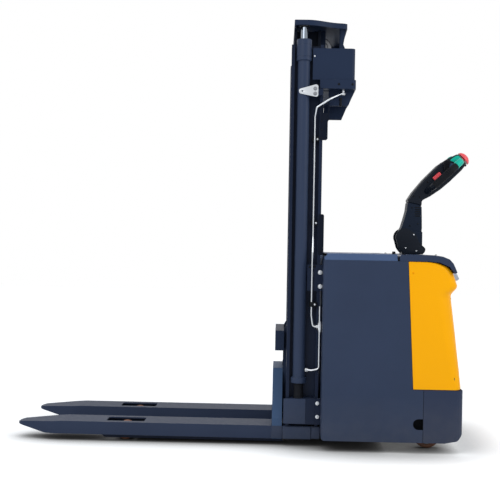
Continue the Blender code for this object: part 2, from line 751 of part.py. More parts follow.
def build_chain(name, side):
    """One lift chain: down from its anchor, over the sheave and down to the carriage."""
    inner, outer = SHEAVE_RADIUS, SHEAVE_RADIUS + CHAIN_DEPTH
    centre = (SHEAVE_X, SHEAVE_Z)
    rear_end = TRAY_BOTTOM + 0.0363
    front_end = CHAIN_FRONT_END
    shape = arc(centre, outer, 0.0, 180.0, 12)
    shape += [(SHEAVE_X - outer, front_end), (SHEAVE_X - inner, front_end)]
    shape += arc(centre, inner, 180.0, 0.0, 12)
    shape += [(SHEAVE_X + inner, rear_end), (SHEAVE_X + outer, rear_end)]
    middle = side * SHEAVE_OFFSET
    chain = plate(name, shape, "side", (middle - CHAIN_WIDTH / 2, middle + CHAIN_WIDTH / 2))
    hang(chain, "inner_mast", CHAIN_STEEL)


# ---------------------------------------------------------------- hydraulics
def build_cylinder(name, side):
    """Foot, collar, barrel and gland in one turned piece, bored for the rod."""
    bore = ROD_RADIUS + RUN + 0.0002
    profile = [
        (0.0, ROD_BOTTOM - 0.01), (bore, ROD_BOTTOM - 0.01), (bore, GLAND_TOP),
        (GLAND_RADIUS - 0.003, GLAND_TOP), (GLAND_RADIUS, GLAND_TOP - 0.003),
        (GLAND_RADIUS, CYLINDER_HEAD + 0.003), (CYLINDER_RADIUS, CYLINDER_HEAD),
        (CYLINDER_RADIUS, COLLAR_TOP), (COLLAR_RADIUS, COLLAR_TOP - 0.003),
        (COLLAR_RADIUS, COLLAR_BOTTOM), (STEM_RADIUS, COLLAR_BOTTOM - 0.002),
        (STEM_RADIUS, CYLINDER_SEAT + GAP), (0.0, CYLINDER_SEAT + GAP),
    ]
    at = (CYLINDER_X, side * CYLINDER_Y, 0.0)
    barrel = turned(name, profile, at, steps=20, closed=False)
    hang(barrel, "chassis", MAST_PAINT)


def build_rod(name, side):
    length = CAP_UNDERSIDE - GAP - ROD_BOTTOM
    rod = pin(name, ROD_RADIUS, length,
              (CYLINDER_X, side * CYLINDER_Y, ROD_BOTTOM + length / 2))
    hang(rod, "inner_mast", CHROME)


PIPE_RADIUS = 0.005
PIPE_OUT = OUTER_TIP + 0.013
PORT_OFFSET = 0.270          # fitting under the tray, from the middle
TEE_X = BODY_FRONT - 0.010
TEE_Z = BRACKET_BOTTOM - 0.157


def build_pipes(name, side):
    """The feed from the tee down into the cylinder's foot."""
    port_z = COLLAR_TOP + 0.033
    port_x = CYLINDER_X + CYLINDER_RADIUS
    route = bent([(TEE_X, side * PIPE_OUT, TEE_Z - 0.0253), (TEE_X, side * PIPE_OUT, port_z + 0.006),
                  (OUTER_REAR - 0.030, side * PIPE_OUT, port_z),
                  (port_x + 0.006, side * (CYLINDER_Y + 0.006), port_z)], 0.016)
    pipe = tube(name, route, PIPE_RADIUS)
    nut = pin(name + "_nut", 0.0085, 0.014, (port_x + 0.0078, side * (CYLINDER_Y + 0.006), port_z),
              "x", 6)
    join(pipe, nut)
    hang(pipe, "chassis", ZINC)


def build_return_pipe():
    """The long pipe up the mast, with the tee at its foot and the fitting at its top."""
    side = SIDES["right"]
    lane = OUTER_REAR - 0.034
    deep = OUTER_TIP - 0.011
    top = TRAY_BOTTOM - 0.013
    port = TIE_REAR - 0.0495
    route = bent([(TEE_X, side * PIPE_OUT, TEE_Z), (TEE_X - 0.030, side * PIPE_OUT, TEE_Z),
                  (lane, side * deep, TEE_Z + 0.050), (lane, side * deep, top - 0.1088),
                  (lane + 0.006, side * (PIPE_OUT - 0.003), top - 0.0708),
                  (port - 0.061, side * (PIPE_OUT - 0.003), top - 0.034),
                  (port, side * PORT_OFFSET, top)], 0.014)
    pipe = tube("return_pipe", route, PIPE_RADIUS)
    tee = block("tee", (TEE_X - 0.007, TEE_X + 0.007),
                both(side, PIPE_OUT - 0.007, PIPE_OUT + 0.007), (TEE_Z - 0.025, TEE_Z + 0.025))
    stub = pin("tee_stub", PIPE_RADIUS, 0.066, (TEE_X, side * PIPE_OUT, TEE_Z + 0.057))
    head = pin("return_fitting", 0.009, 0.0240, (port, side * PORT_OFFSET, TRAY_BOTTOM - 0.0123),
               "z", 8)
    join(pipe, tee, stub, head)
    hang(pipe, "chassis", ZINC)


def build_strap():
    """The plated bracket that steadies the cylinder near its head."""
    side = SIDES["right"]
    out = CYLINDER_Y + CYLINDER_RADIUS + GAP
    nose, heel, rear = CYLINDER_X - 0.021, OUTER_REAR - 0.030, OUTER_REAR - 0.0231
    outline = [(nose, -0.0162), (heel, -0.0403), (rear, -0.0358), (rear, 0.0082), (heel, 0.0134)]
    outline = rounded([(x, TRAY_BOTTOM + z) for x, z in outline],
                      [0.005, 0.004, 0.005, 0.005, 0.004], 3)
    strap = plate("cylinder_strap", outline, "side", both(side, out, out + 0.004),
                  [circle((CYLINDER_X - 0.002, TRAY_BOTTOM - 0.0158), 0.0032, 10)])
    spacer = block("strap_spacer", (OUTER_REAR - 0.046, OUTER_REAR - 0.002),
                   both(side, OUTER_TIP + GAP, out + 0.001),
                   (TRAY_BOTTOM - 0.0338, TRAY_BOTTOM - 0.004))
    join(strap, spacer)
    hang(strap, "chassis", ZINC)


# ---------------------------------------------------------------- carriage
CHEEK_OUT = INNER_OFFSET - INNER_HALF_WIDTH - 0.0015
CHEEK_PLATE = 0.012
CHAIN_FRONT_X = SHEAVE_X - SHEAVE_RADIUS - CHAIN_DEPTH / 2
ANCHOR_TOP = HEEL_TOP + 0.076
CHAIN_FRONT_END = ANCHOR_TOP - 0.030
BAR_HALF_WIDTH = 0.190
BAR_THICKNESS = 0.040
BAR_REAR = HEEL_THICKNESS + 0.0039
BAR_BOTTOM = ANCHOR_TOP + 0.0104
BAR_TOP = ANCHOR_TOP + 0.1013
CHEEK_BOTTOM = 0.125
CHEEK_TOP = ANCHOR_TOP + 0.125


def build_carriage():
    """Two cheeks with roller pins, the upper bar before the mast and the chain bar."""
    bar = plate("carriage_frame",
                rounded(rectangle((-BAR_HALF_WIDTH, BAR_HALF_WIDTH), (BAR_BOTTOM, BAR_TOP)), 0.004, 2),
                "front", (BAR_REAR - BAR_THICKNESS, BAR_REAR))
    back = CHAIN_FRONT_X + 0.040
    front = HEEL_THICKNESS + GAP
    for sign in SIDES.values():
        cheek = rounded([(front, CHEEK_BOTTOM), (back - 0.02, CHEEK_BOTTOM), (back, CHEEK_BOTTOM + 0.025),
                         (back, CHEEK_TOP - 0.025), (back - 0.02, CHEEK_TOP), (front + 0.0152, CHEEK_TOP),
                         (front + 0.0012, CHEEK_TOP - 0.025), (front + 0.0012, HEEL_TOP + 0.006),
                         (front, HEEL_TOP + 0.006)], [0, 0.010, 0.01, 0.01, 0.01, 0.006, 0, 0, 0], 2)
        window = circle((MAST_AXIS_X - 0.015, HEEL_TOP - 0.034), 0.030, 12)
        join(bar, plate("cheek", cheek, "side", both(sign, CHEEK_OUT - CHEEK_PLATE, CHEEK_OUT), [window]))
        reach = INNER_OFFSET - WEB / 2 - 0.003
        for height in (CARRIAGE_ROLLER_LOW, CARRIAGE_ROLLER_HIGH):
            join(bar, pin("roller_pin", ROLLER_PIN_RADIUS, reach - CHEEK_OUT + 0.004,
                          (MAST_AXIS_X, sign * (reach + CHEEK_OUT - 0.004) / 2, height), "y", 12))
    join(bar, block("chain_bar", (CHAIN_FRONT_X - 0.016, CHAIN_FRONT_X + 0.016),
                    (-CHEEK_OUT + 0.004, CHEEK_OUT - 0.004), (ANCHOR_TOP - 0.040, ANCHOR_TOP)))
    for sign in SIDES.values():
        middle = sign * SHEAVE_OFFSET
        deep = CHAIN_DEPTH / 2 + GAP
        wide = CHAIN_WIDTH / 2 + GAP
        cut(bar, block("chain_slot", (CHAIN_FRONT_X - deep, CHAIN_FRONT_X + deep),
                       (middle - wide, middle + wide), (CHAIN_FRONT_END - GAP, ANCHOR_TOP + 0.05)))
    hang(bar, "carriage", STEEL_PAINT)


def roller(name, side, across, height, radius):
    """One mast roller, spinning on its pin."""
    half = ROLLER_WIDTH / 2
    bore = ROLLER_PIN_RADIUS + RUN
    piece = turned(name, rectangle((bore, radius), (-half, half))[::-1],
                   (MAST_AXIS_X, side * across, height), "y")
    hang(piece, name, BRIGHT_STEEL)


# ---------------------------------------------------------------- body
def body_outline():
    """Side outline of the sheet-steel body, clockwise from its front foot."""
    return rounded([(BODY_FRONT, BODY_BOTTOM), (BODY_FRONT, BODY_TOP), (YELLOW_HEAD_X, BODY_TOP),
                    (YELLOW_FOOT_X, LOWER_COVER_TOP), (BODY_SEAM_X, LOWER_COVER_TOP),
                    (BODY_SEAM_X, BODY_BOTTOM)], [BODY_CORNER, 0, 0, 0, 0, 0], 4)


def build_body_shell():
    """The bent sheet round the battery: a front and two sides."""
    half = BODY_HALF_WIDTH
    shell = plate("body_shell", body_outline(), "side", (-half, half))
    corners = [(BODY_FRONT, -half), (BODY_REAR, -half), (BODY_REAR, half), (BODY_FRONT, half)]
    blank = plate("body_blank", rounded(corners, [BODY_CORNER, 0, 0, BODY_CORNER], 3),
                  "plan", (0.0, 1.2 * BODY_TOP))
    change(shell, blank, "INTERSECT")
    inner = [(BODY_FRONT + SHEET, -half + SHEET), (BODY_REAR + 0.1, -half + SHEET),
             (BODY_REAR + 0.1, half - SHEET), (BODY_FRONT + SHEET, half - SHEET)]
    room = plate("body_room", rounded(inner, [BODY_CORNER - SHEET, 0, 0, BODY_CORNER - SHEET], 3),
                 "plan", (-0.1, 1.4 * BODY_TOP))
    ring = arc((BODY_SEAM_X - 0.019, TIE_HOLE_Z), TIE_HOLE_RADIUS, 90.0, 270.0, 8)
    ring += [(BODY_SEAM_X + 0.01, TIE_HOLE_Z - TIE_HOLE_RADIUS),
             (BODY_SEAM_X + 0.01, TIE_HOLE_Z + TIE_HOLE_RADIUS)]
    hole = plate("tie_down_hole", ring, "side", (-half - 0.1, half + 0.1))
    notch = block("sill_notch", (BODY_FRONT - 0.1, BODY_FRONT + 0.05),
                  (-SILL_HALF_WIDTH - GAP, SILL_HALF_WIDTH + GAP), (-0.1, BEAM_TOP + GAP))
    cut(shell, room, hole, notch)
    hang(shell, "chassis", STEEL_PAINT)


def from_corner(points):
    """Points given by how far they lie before the body's rear and under its top."""
    return [(BODY_REAR - before, BODY_TOP - under) for before, under in points]


YELLOW_TOP = from_corner([(0.2462, 0.001), (0.156, 0.001), (0.112, 0.0044), (0.0692, 0.023),
                          (0.0474, 0.0505)])
YELLOW_REAR = from_corner([(0.0293, 0.1018), (0.0335, 0.117), (0.0505, 0.139), (0.0519, 0.155),
                           (0.0343, 0.2912), (0.0139, 0.4715), (0.009, 0.539)])


def build_yellow_cover():
    """The moulded rear hood: a side profile across the machine, hollowed from the front."""
    half = BODY_HALF_WIDTH
    foot = LOWER_COVER_TOP + SEAM
    outline = [(YELLOW_FOOT_X + SEAM, foot)] + YELLOW_TOP + YELLOW_REAR + [(BODY_REAR - 0.012, foot)]
    cover = plate("rear_hood", outline, "side", (-half, half))
    corners = rectangle((BULKHEAD_X, BODY_REAR - 0.004), (-half, half))
    blank = plate("hood_blank", rounded(corners, [0, REAR_CORNER, REAR_CORNER, 0], 4), "plan",
                  (0.0, 1.2 * BODY_TOP))
    change(cover, blank, "INTERSECT")
    inside = from_corner([(0.164, 0.001 + MOULD), (0.114, 0.0044 + MOULD), (0.073, 0.027),
                          (0.0523, 0.052), (0.0352, 0.1018), (0.056, 0.140), (0.0573, 0.155),
                          (0.040, 0.2912), (0.0195, 0.4715)])
    roof = BODY_TOP + 0.07
    room_outline = [(BULKHEAD_X, foot - 0.1), (BULKHEAD_X, roof), (inside[0][0], roof)]
    room_outline += inside + [(BODY_REAR - 0.017, foot - 0.1)]
    room = plate("hood_room", room_outline, "side", (-half + MOULD, half - MOULD))
    window = block("hood_window", (PANEL_X[0] - 0.06, BODY_REAR + 0.06),
                   (-PANEL_HALF_WIDTH - GAP, PANEL_HALF_WIDTH + GAP),
                   (PANEL_BOTTOM - GAP, PANEL_TOP + GAP))
    neck = pin("hood_neck", NECK_RADIUS + 0.004, 0.3, (STEER_X, 0.0, BODY_TOP))
    cut(cover, room, window, neck)
    hang(cover, "chassis", YELLOW)


PANEL_HALF_WIDTH = 0.200
PANEL_BOTTOM = BODY_TOP - 0.374
PANEL_TOP = BODY_TOP - 0.157
PANEL_X = (BODY_REAR - 0.060, BODY_REAR - 0.027)
SWITCH_Z = BODY_TOP - 0.259
SWITCH_OFFSET = 0.080
SWITCH_FLOOR = BODY_REAR - 0.052
DISPLAY_PLATE = 0.013


def build_rear_panel():
    """The dark panel in the hood, with a pocket for the switches."""
    panel = block("rear_panel", PANEL_X, (-PANEL_HALF_WIDTH, PANEL_HALF_WIDTH), (PANEL_BOTTOM, PANEL_TOP))
    round_edges(panel, 0.005, 2)
    pocket = plate("switch_pocket", rounded(rectangle((-0.125, 0.125), (SWITCH_Z - 0.042, SWITCH_Z + 0.042)),
                                            0.020, 4), "front", (SWITCH_FLOOR, PANEL_X[1] + 0.02))
    stop_hole = pin("stop_hole", 0.0085 + RUN, 0.06, (SWITCH_FLOOR, -SWITCH_OFFSET, SWITCH_Z), "x", 16)
    key_hole = pin("key_hole", 0.0075 + RUN, 0.06, (SWITCH_FLOOR, SWITCH_OFFSET, SWITCH_Z), "x", 16)
    cut(panel, pocket, stop_hole, key_hole)
    hang(panel, "chassis", DARK_PLASTIC)


def build_switches():
    """The emergency push button and the key in its barrel."""
    travel = 0.006
    mushroom = [(0.0, 0.0240), (0.010, 0.0228), (0.0165, 0.0185), (0.0180, 0.0130), (0.0165, travel + GAP),
                (0.0085, travel + GAP), (0.0085, -0.006), (0.0, -0.006)]
    button = turned("emergency_stop", mushroom, (SWITCH_FLOOR, -SWITCH_OFFSET, SWITCH_Z), "x", ROUND, False)
    hang(button, "emergency_stop", RED)
    barrel = pin("key_switch", 0.0075, 0.014, (SWITCH_FLOOR + 0.001, SWITCH_OFFSET, SWITCH_Z), "x", 16)
    blade = block("key_bow", (SWITCH_FLOOR + 0.006, SWITCH_FLOOR + 0.022),
                  (SWITCH_OFFSET - 0.0015, SWITCH_OFFSET + 0.0015), (SWITCH_Z - 0.010, SWITCH_Z + 0.010))
    join(barrel, blade)
    hang(barrel, "key_switch", BRIGHT_STEEL)


def build_lower_cover():
    """The dark cover round the lower rear, with its rounded corners."""
    half = BODY_HALF_WIDTH
    front = BODY_SEAM_X + SEAM
    outline = rounded([(front, BODY_BOTTOM), (front, LOWER_COVER_TOP), (BODY_REAR, LOWER_COVER_TOP),
                       (BODY_REAR - 0.001, BODY_BOTTOM + 0.038),
                       (BODY_REAR - 0.024, BODY_BOTTOM + 0.010), (BODY_REAR - 0.079, BODY_BOTTOM)],
                      [0, 0, 0.002, 0.030, 0.02, 0], 3)
    cover = plate("rear_lower_cover", outline, "side", (-half, half))
    corners = rectangle((BULKHEAD_X, BODY_REAR), (-half, half))
    blank = plate("lower_blank", rounded(corners, [0, REAR_CORNER, REAR_CORNER, 0], 4), "plan",
                  (0.0, BODY_TOP))
    change(cover, blank, "INTERSECT")
    inner = rectangle((BULKHEAD_X, BODY_REAR - MOULD), (-half + MOULD, half - MOULD))
    room = plate("lower_room", rounded(inner, [0, REAR_CORNER - MOULD, REAR_CORNER - MOULD, 0], 4),
                 "plan", (-0.1, BODY_TOP))
    cut(cover, room)
    hang(cover, "chassis", DARK_PLASTIC)


def build_top_cover():
    """The moulded deck over the drive, bent down at the rear, open for the tiller's neck."""
    half = BODY_HALF_WIDTH
    front = LID_REAR + 0.009
    under = [(front, BODY_TOP + GAP), (YELLOW_HEAD_X + SEAM, BODY_TOP + GAP)]
    under += [(x + 0.0010, z + 0.0012) for x, z in YELLOW_TOP[1:]]
    top = from_corner([(0.036, 0.046), (0.044, 0.027), (0.054, 0.006), (0.0699, -0.0114),
                       (0.099, -0.023), (0.134, -0.028), (0.1985, -0.0285)])
    top += [(front + 0.006, DECK_TOP - 0.001), (front, DECK_TOP - 0.0075)]
    cover = plate("deck_cover", under + top, "side", (-half, half))
    corners = rectangle((BODY_FRONT, BODY_REAR - 0.015), (-half, half))
    blank = plate("deck_blank", rounded(corners, [0, REAR_CORNER, REAR_CORNER, 0], 4), "plan",
                  (0.0, 1.2 * BODY_TOP))
    change(cover, blank, "INTERSECT")
    neck = pin("deck_neck", NECK_RADIUS + 0.004, 0.3, (STEER_X, 0.0, BODY_TOP), "z", ROUND)
    cut(cover, neck)
    hang(cover, "chassis", DARK_PLASTIC)


def build_display():
    """The slanting instrument plate at the rear edge of the deck."""
    low = Vector(YELLOW_REAR[0])
    high = Vector(YELLOW_TOP[-1])
    lean = math.atan2(low.x - high.x, high.y - low.y)
    display = block("instrument_plate", (0.0, DISPLAY_PLATE), (-0.130, 0.130), (0.0, 0.050))
    display.rotation_euler = (0.0, -lean, 0.0)
    middle = (low + high) / 2
    out = DISPLAY_PLATE / 2 + GAP
    display.location = (middle.x + out * math.cos(lean), 0.0, middle.y + out * math.sin(lean))
    round_edges(display, 0.003, 2)
    hang(display, "chassis", GREY)


def build_lid():
    """The battery cover, hinged along its front edge."""
    half = BODY_HALF_WIDTH - 0.001
    front, rear = BODY_FRONT + SHEET, LID_REAR
    lid = block("battery_cover", (front, rear), (-half, half), (BODY_TOP + GAP, LID_TOP))
    slope = []
    for sign in SIDES.values():
        outline = [(sign * (half - LID_CHAMFER), LID_TOP + 0.0001), (sign * (half + 0.01), LID_TOP + 0.0001),
                   (sign * (half + 0.01), BODY_TOP + 0.001), (sign * half, BODY_TOP + 0.003)]
        slope.append(plate("lid_slope", outline, "front", (front - 0.01, rear + 0.01)))
    front_outline = [(front - 0.01, LID_TOP + 0.0001), (front + 0.016, LID_TOP + 0.0001),
                     (front, BODY_TOP + 0.012), (front - 0.01, BODY_TOP + 0.012)]
    slope.append(plate("lid_front_slope", front_outline, "side", (-half - 0.01, half + 0.01)))
    room = block("lid_room", (front + SHEET, rear - SHEET), (-half + 0.030, half - 0.030),
                 (BODY_TOP - 0.05, LID_TOP - SHEET))
    grip = plate("lid_grip", rounded(rectangle((rear - 0.075, rear - 0.040), (-0.070, 0.070)), 0.012, 3),
                 "plan", (LID_TOP - 0.010, LID_TOP + 0.05))
    cut(lid, *slope, room, grip)
    hang(lid, "lid", STEEL_PAINT)


def build_battery():
    """The battery, which stands in the frame's tray."""
    x0 = 0.5 * (BODY_FRONT + BULKHEAD_X) - BATTERY_LENGTH / 2 + 0.002
    base = FRAME_BOTTOM + FRAME_FLOOR + GAP
    battery = block("battery", (x0, x0 + BATTERY_LENGTH), (-BATTERY_HALF_WIDTH, BATTERY_HALF_WIDTH),
                    (base, base + BATTERY_HEIGHT))
    round_edges(battery, 0.004, 1)
    hang(battery, "chassis", BATTERY_BLACK)


def build_frame():
    """The welded chassis: battery tray in front, a bridge over the drive wheel behind."""
    half = FRAME_HALF_WIDTH
    front = BODY_FRONT + SHEET + GAP
    frame = plate("chassis_frame",
                  rounded(rectangle((front, FRAME_REAR), (-half, half)),
                          [BODY_CORNER, 0, 0, BODY_CORNER], 3), "plan", (FRAME_BOTTOM, FRAME_TOP))
    inside = half - FRAME_PLATE
    tray = block("tray_room", (front + FRAME_PLATE, BULKHEAD_X - FRAME_PLATE), (-inside, inside),
                 (FRAME_BOTTOM + FRAME_FLOOR, FRAME_TOP + 0.1))
    bay = block("drive_bay", (BULKHEAD_X, FRAME_REAR + 0.1), (-inside, inside),
                (FRAME_BOTTOM - 0.1, FRAME_TOP - FRAME_PLATE))
    opening = pin("bearing_hole", BEARING_RADIUS + 0.002, 0.2, (STEER_X, 0.0, FRAME_TOP), "z", ROUND)
    tie_hole = block("tie_hole", (BODY_SEAM_X - 0.051, BODY_SEAM_X + 0.009),
                     (-half - 0.1, half + 0.1), (TIE_HOLE_Z - 0.0265, TIE_HOLE_Z + 0.0285))
    cut(frame, tray, bay, opening, tie_hole)
    for sign in SIDES.values():
        top = FRAME_TOP - FRAME_PLATE
        foot = CASTER_SWIVEL_Z
        join(frame, pin("caster_post", 0.026, top + 0.004 - foot,
                        (CASTER_X, sign * CASTER_OFFSET, (top + 0.004 + foot) / 2), "z", 16))
    sill = block("frame_sill", (BEAM_FRONT + BEAM_DEPTH + GAP, front + FRAME_PLATE / 2),
                 (-SILL_HALF_WIDTH, SILL_HALF_WIDTH),
                 (FRAME_BOTTOM, BEAM_TOP))
    join(frame, sill)
    hang(frame, "chassis", MAST_PAINT)


# ---------------------------------------------------------------- drive and casters
CASTER_SWIVEL_Z = 0.160
NECK_RADIUS = 0.038
FLANGE_TOP = FRAME_TOP + 0.012


def build_drive_unit():
    """Gearbox beside the wheel, slewing ring in the bridge, motor and neck above."""
    deck = DECK_TOP + GAP
    ring = BEARING_RADIUS + 0.020
    motor = FRAME_TOP + MOTOR_HEIGHT
    foot = FRAME_TOP - 0.080
    profile = [(0.0, deck), (NECK_RADIUS, deck), (NECK_RADIUS, motor + 0.025),
               (MOTOR_RADIUS - 0.002, motor + 0.015), (MOTOR_RADIUS, motor),
               (MOTOR_RADIUS, FLANGE_TOP), (ring, FLANGE_TOP), (ring, FRAME_TOP + GAP),
               (BEARING_RADIUS, FRAME_TOP + GAP), (BEARING_RADIUS, foot + 0.012), (0.040, foot),
               (0.0, foot)]
    unit = turned("drive_unit", profile, (STEER_X, 0.0, 0.0), "z", ROUND, False)
    gap = DRIVE_WHEEL_WIDTH / 2 + 0.004
    casing = [(-0.055, foot + 0.020), (-0.075, DRIVE_WHEEL_RADIUS), (-0.050, GEARBOX_BOTTOM),
              (0.050, GEARBOX_BOTTOM), (0.075, DRIVE_WHEEL_RADIUS), (0.055, foot + 0.020)]
    casing = rounded([(STEER_X + x, z) for x, z in casing], [0, 0.03, 0.03, 0.03, 0.03, 0], 3)
    gearbox = plate("gearbox", casing, "side", (gap, gap + 0.036))
    spindle = pin("spindle", 0.016, 0.072 + 0.02, (STEER_X, gap - 0.030, DRIVE_WHEEL_RADIUS), "y", 16)
    join(unit, gearbox, spindle)
    hang(unit, "steer", DARK_PLASTIC)


def build_wheels():
    """The drive wheel, the two load wheels and the two casters."""
    tyre = wheel("drive_wheel", DRIVE_WHEEL_RADIUS, DRIVE_WHEEL_WIDTH, 0.016 + RUN,
                 (STEER_X, 0.0, DRIVE_WHEEL_RADIUS), 0.006)
    hang(tyre, "drive_wheel", TYRE)
    for name, side in SIDES.items():
        load = wheel("load_wheel_" + name, LOAD_WHEEL_RADIUS, LOAD_WHEEL_WIDTH, LOAD_AXLE_RADIUS + RUN,
                     (LOAD_AXLE_X, side * FORK_OFFSET, LOAD_WHEEL_RADIUS), 0.004)
        hang(load, "load_wheel_" + name, TYRE)
        centre = (CASTER_X + CASTER_TRAIL, side * CASTER_OFFSET, CASTER_WHEEL_RADIUS)
        small = wheel("caster_wheel_" + name, CASTER_WHEEL_RADIUS, CASTER_WHEEL_WIDTH,
                      CASTER_AXLE_RADIUS + RUN, centre, 0.005)
        hang(small, "caster_wheel_" + name, TYRE)
        build_caster_fork("caster_fork_" + name, side)


def build_caster_fork(name, side):
    """Two cheeks under a round plate, with the wheel's axle."""
    y = side * CASTER_OFFSET
    top = CASTER_SWIVEL_Z - GAP
    inner = CASTER_WHEEL_WIDTH / 2 + 0.003
    fork = pin(name, 0.034, 0.012, (CASTER_X, y, top - 0.006), "z", ROUND)
    cheek = rounded([(CASTER_X - 0.028, top - 0.006), (CASTER_X + 0.030, top - 0.006),
                     (CASTER_X + CASTER_TRAIL + 0.015, 0.045), (CASTER_X + CASTER_TRAIL - 0.015, 0.045)],
                    [0, 0, 0.012, 0.012], 3)
    for end in (-1, 1):
        low, high = sorted((y + end * inner, y + end * (inner + 0.005)))
        join(fork, plate("caster_cheek", cheek, "side", (low, high)))
    join(fork, pin("caster_axle", CASTER_AXLE_RADIUS, 2 * inner + 0.014,
                   (CASTER_X + CASTER_TRAIL, y, CASTER_WHEEL_RADIUS), "y", 12))
    hang(fork, name, BRIGHT_STEEL)


# ---------------------------------------------------------------- tiller
def from_hinge(points):
    """Points given by how far they lie behind and above the tiller's hinge."""
    return [(HINGE_X + behind, HINGE_Z + above) for behind, above in points]


HEAD_DIRECTION = Vector((0.745, 0.667)).normalized()
HEAD_HALF_WIDTH = 0.047
THROTTLE = from_hinge([(0.1870, 0.3323)])[0]
ROCKER = from_hinge([(0.2190, 0.3618)])[0]
ROCKER_RADIUS = 0.022
ROCKER_HALF_WIDTH = 0.017
GRIP_RADIUS = 0.0155
HORN_LENGTH = 0.044
HORN_HEIGHT = 0.017
THROTTLE_PIN_RADIUS = 0.006
HORN = from_hinge([(0.1450, 0.2873)])[0]
CAP_TRAVEL = 0.005


def build_tiller_base():
    """The hinge bracket on the neck: a base plate, two cheeks and the pin."""
    inner = TILLER_HALF_WIDTH + 0.001
    outer = inner + TILLER_CHEEK
    floor = DECK_TOP + 2 * GAP
    base = block("tiller_base", (HINGE_X - 0.011, HINGE_X + 0.087),
                 (-outer + 0.001, outer - 0.001), (floor, floor + 0.007))
    hinge = (HINGE_X, HINGE_Z)
    cheek = arc(hinge, HINGE_LOBE, 40.0, 205.0, 12)
    cheek += from_hinge([(-0.0295, -0.0467), (-0.0230, -0.0587), (-0.0150, -0.0687)])
    cheek += [(HINGE_X - 0.003, floor), (HINGE_X + 0.085, floor)]
    cheek += arc(from_hinge([(0.0840, -0.0567)])[0], 0.0135, -50.0, 60.0, 4)
    cheek += from_hinge([(0.0730, -0.0287)])
    for sign in SIDES.values():
        join(base, plate("hinge_cheek", cheek, "side", both(sign, inner, outer)))
    join(base, pin("hinge_pin", TILLER_PIN_RADIUS, 2 * inner + 0.008, (HINGE_X, 0.0, HINGE_Z), "y", 20))
    hang(base, "steer", TILLER_PLASTIC)


def build_tiller_arm():
    """The moulded arm from the hinge up to the head."""
    hinge = (HINGE_X, HINGE_Z)
    outline = arc(hinge, 0.034, 170.0, 330.0, 12)
    outline += from_hinge([
        (0.0620, 0.0013), (0.0780, 0.0193), (0.0805, 0.0443), (0.0790, 0.1033), (0.0775, 0.1433),
        (0.0610, 0.1523), (0.0130, 0.1623), (0.0085, 0.1233), (-0.0020, 0.0833), (-0.0125, 0.0483)])
    arm = plate("tiller_arm", outline, "side", (-TILLER_HALF_WIDTH, TILLER_HALF_WIDTH))
    round_edges(arm, 0.004, 2, 50.0)
    bore = pin("arm_bore", TILLER_PIN_RADIUS + RUN, 0.2, (HINGE_X, 0.0, HINGE_Z), "y", 20)
    cut(arm, bore)
    hang(arm, "tiller", TILLER_PLASTIC)


def build_head():
    """The tiller head: a curved body with a loop grip on each side."""
    top = [(0.0133, 0.1761), (0.0358, 0.2114), (0.0857, 0.2729), (0.1518, 0.3401), (0.1999, 0.3725),
           (0.2398, 0.3926)]
    end = [(0.2530, 0.3813), (0.2720, 0.3553)]
    below = [(0.2770, 0.3388), (0.2589, 0.3151), (0.2065, 0.2631), (0.1632, 0.2251), (0.1151, 0.1917),
             (0.0783, 0.1724), (0.0775, 0.1439), (0.0612, 0.1527), (0.0132, 0.1627)]
    head = plate("tiller_head", from_hinge(top + end + below), "side",
                 (-HEAD_HALF_WIDTH, HEAD_HALF_WIDTH))
    round_edges(head, 0.007, 2, 50.0)
    for sign in SIDES.values():
        loop = [(0.097, 0.035, 0.2133), (0.127, 0.105, 0.2393), (0.189, 0.128, 0.2993),
                (0.243, 0.095, 0.3513), (0.247, 0.035, 0.3533)]
        route = [(HINGE_X + x, sign * y, HINGE_Z + z) for x, y, z in loop]
        join(head, tube("grip_loop", bent(route, 0.030, 3), GRIP_RADIUS, 2))
    stem_bore = pin("stem_bore", 0.010 + RUN, 0.030, (0.0, 0.0, 0.0), "z", ROUND)
    aim_along_head(stem_bore, HEAD_TIP_MIDDLE, 0.0)
    shaft_bore = pin("shaft_bore", THROTTLE_PIN_RADIUS + RUN, 0.3, (THROTTLE[0], 0.0, THROTTLE[1]), "y", 16)
    seat = pin("rocker_seat", ROCKER_RADIUS + RUN, 2 * (ROCKER_HALF_WIDTH + RUN),
               (ROCKER[0], 0.0, ROCKER[1]), "y", 24)
    long = HORN_LENGTH / 2 + RUN
    high = HORN_HEIGHT / 2 + RUN
    recess = block("horn_recess", (-long, long), (0.0, 0.02), (-high, high))
    recess.location = (HORN[0], -HEAD_HALF_WIDTH, HORN[1])
    recess.rotation_euler = (0.0, -HEAD_LEAN, 0.0)
    cut(head, stem_bore, shaft_bore, seat, recess)
    hang(head, "tiller", TILLER_PLASTIC)


HEAD_LEAN = math.atan2(HEAD_DIRECTION.y, HEAD_DIRECTION.x)
HEAD_TIP_MIDDLE = from_hinge([(0.2650, 0.3653)])[0]


def aim_along_head(piece, start, distance):
    """Turn a piece that stands along Z so that it points out of the head."""
    piece.rotation_euler = (0.0, math.pi / 2 - HEAD_LEAN, 0.0)
    piece.location = (start[0] + HEAD_DIRECTION.x * distance, 0.0, start[1] + HEAD_DIRECTION.y * distance)


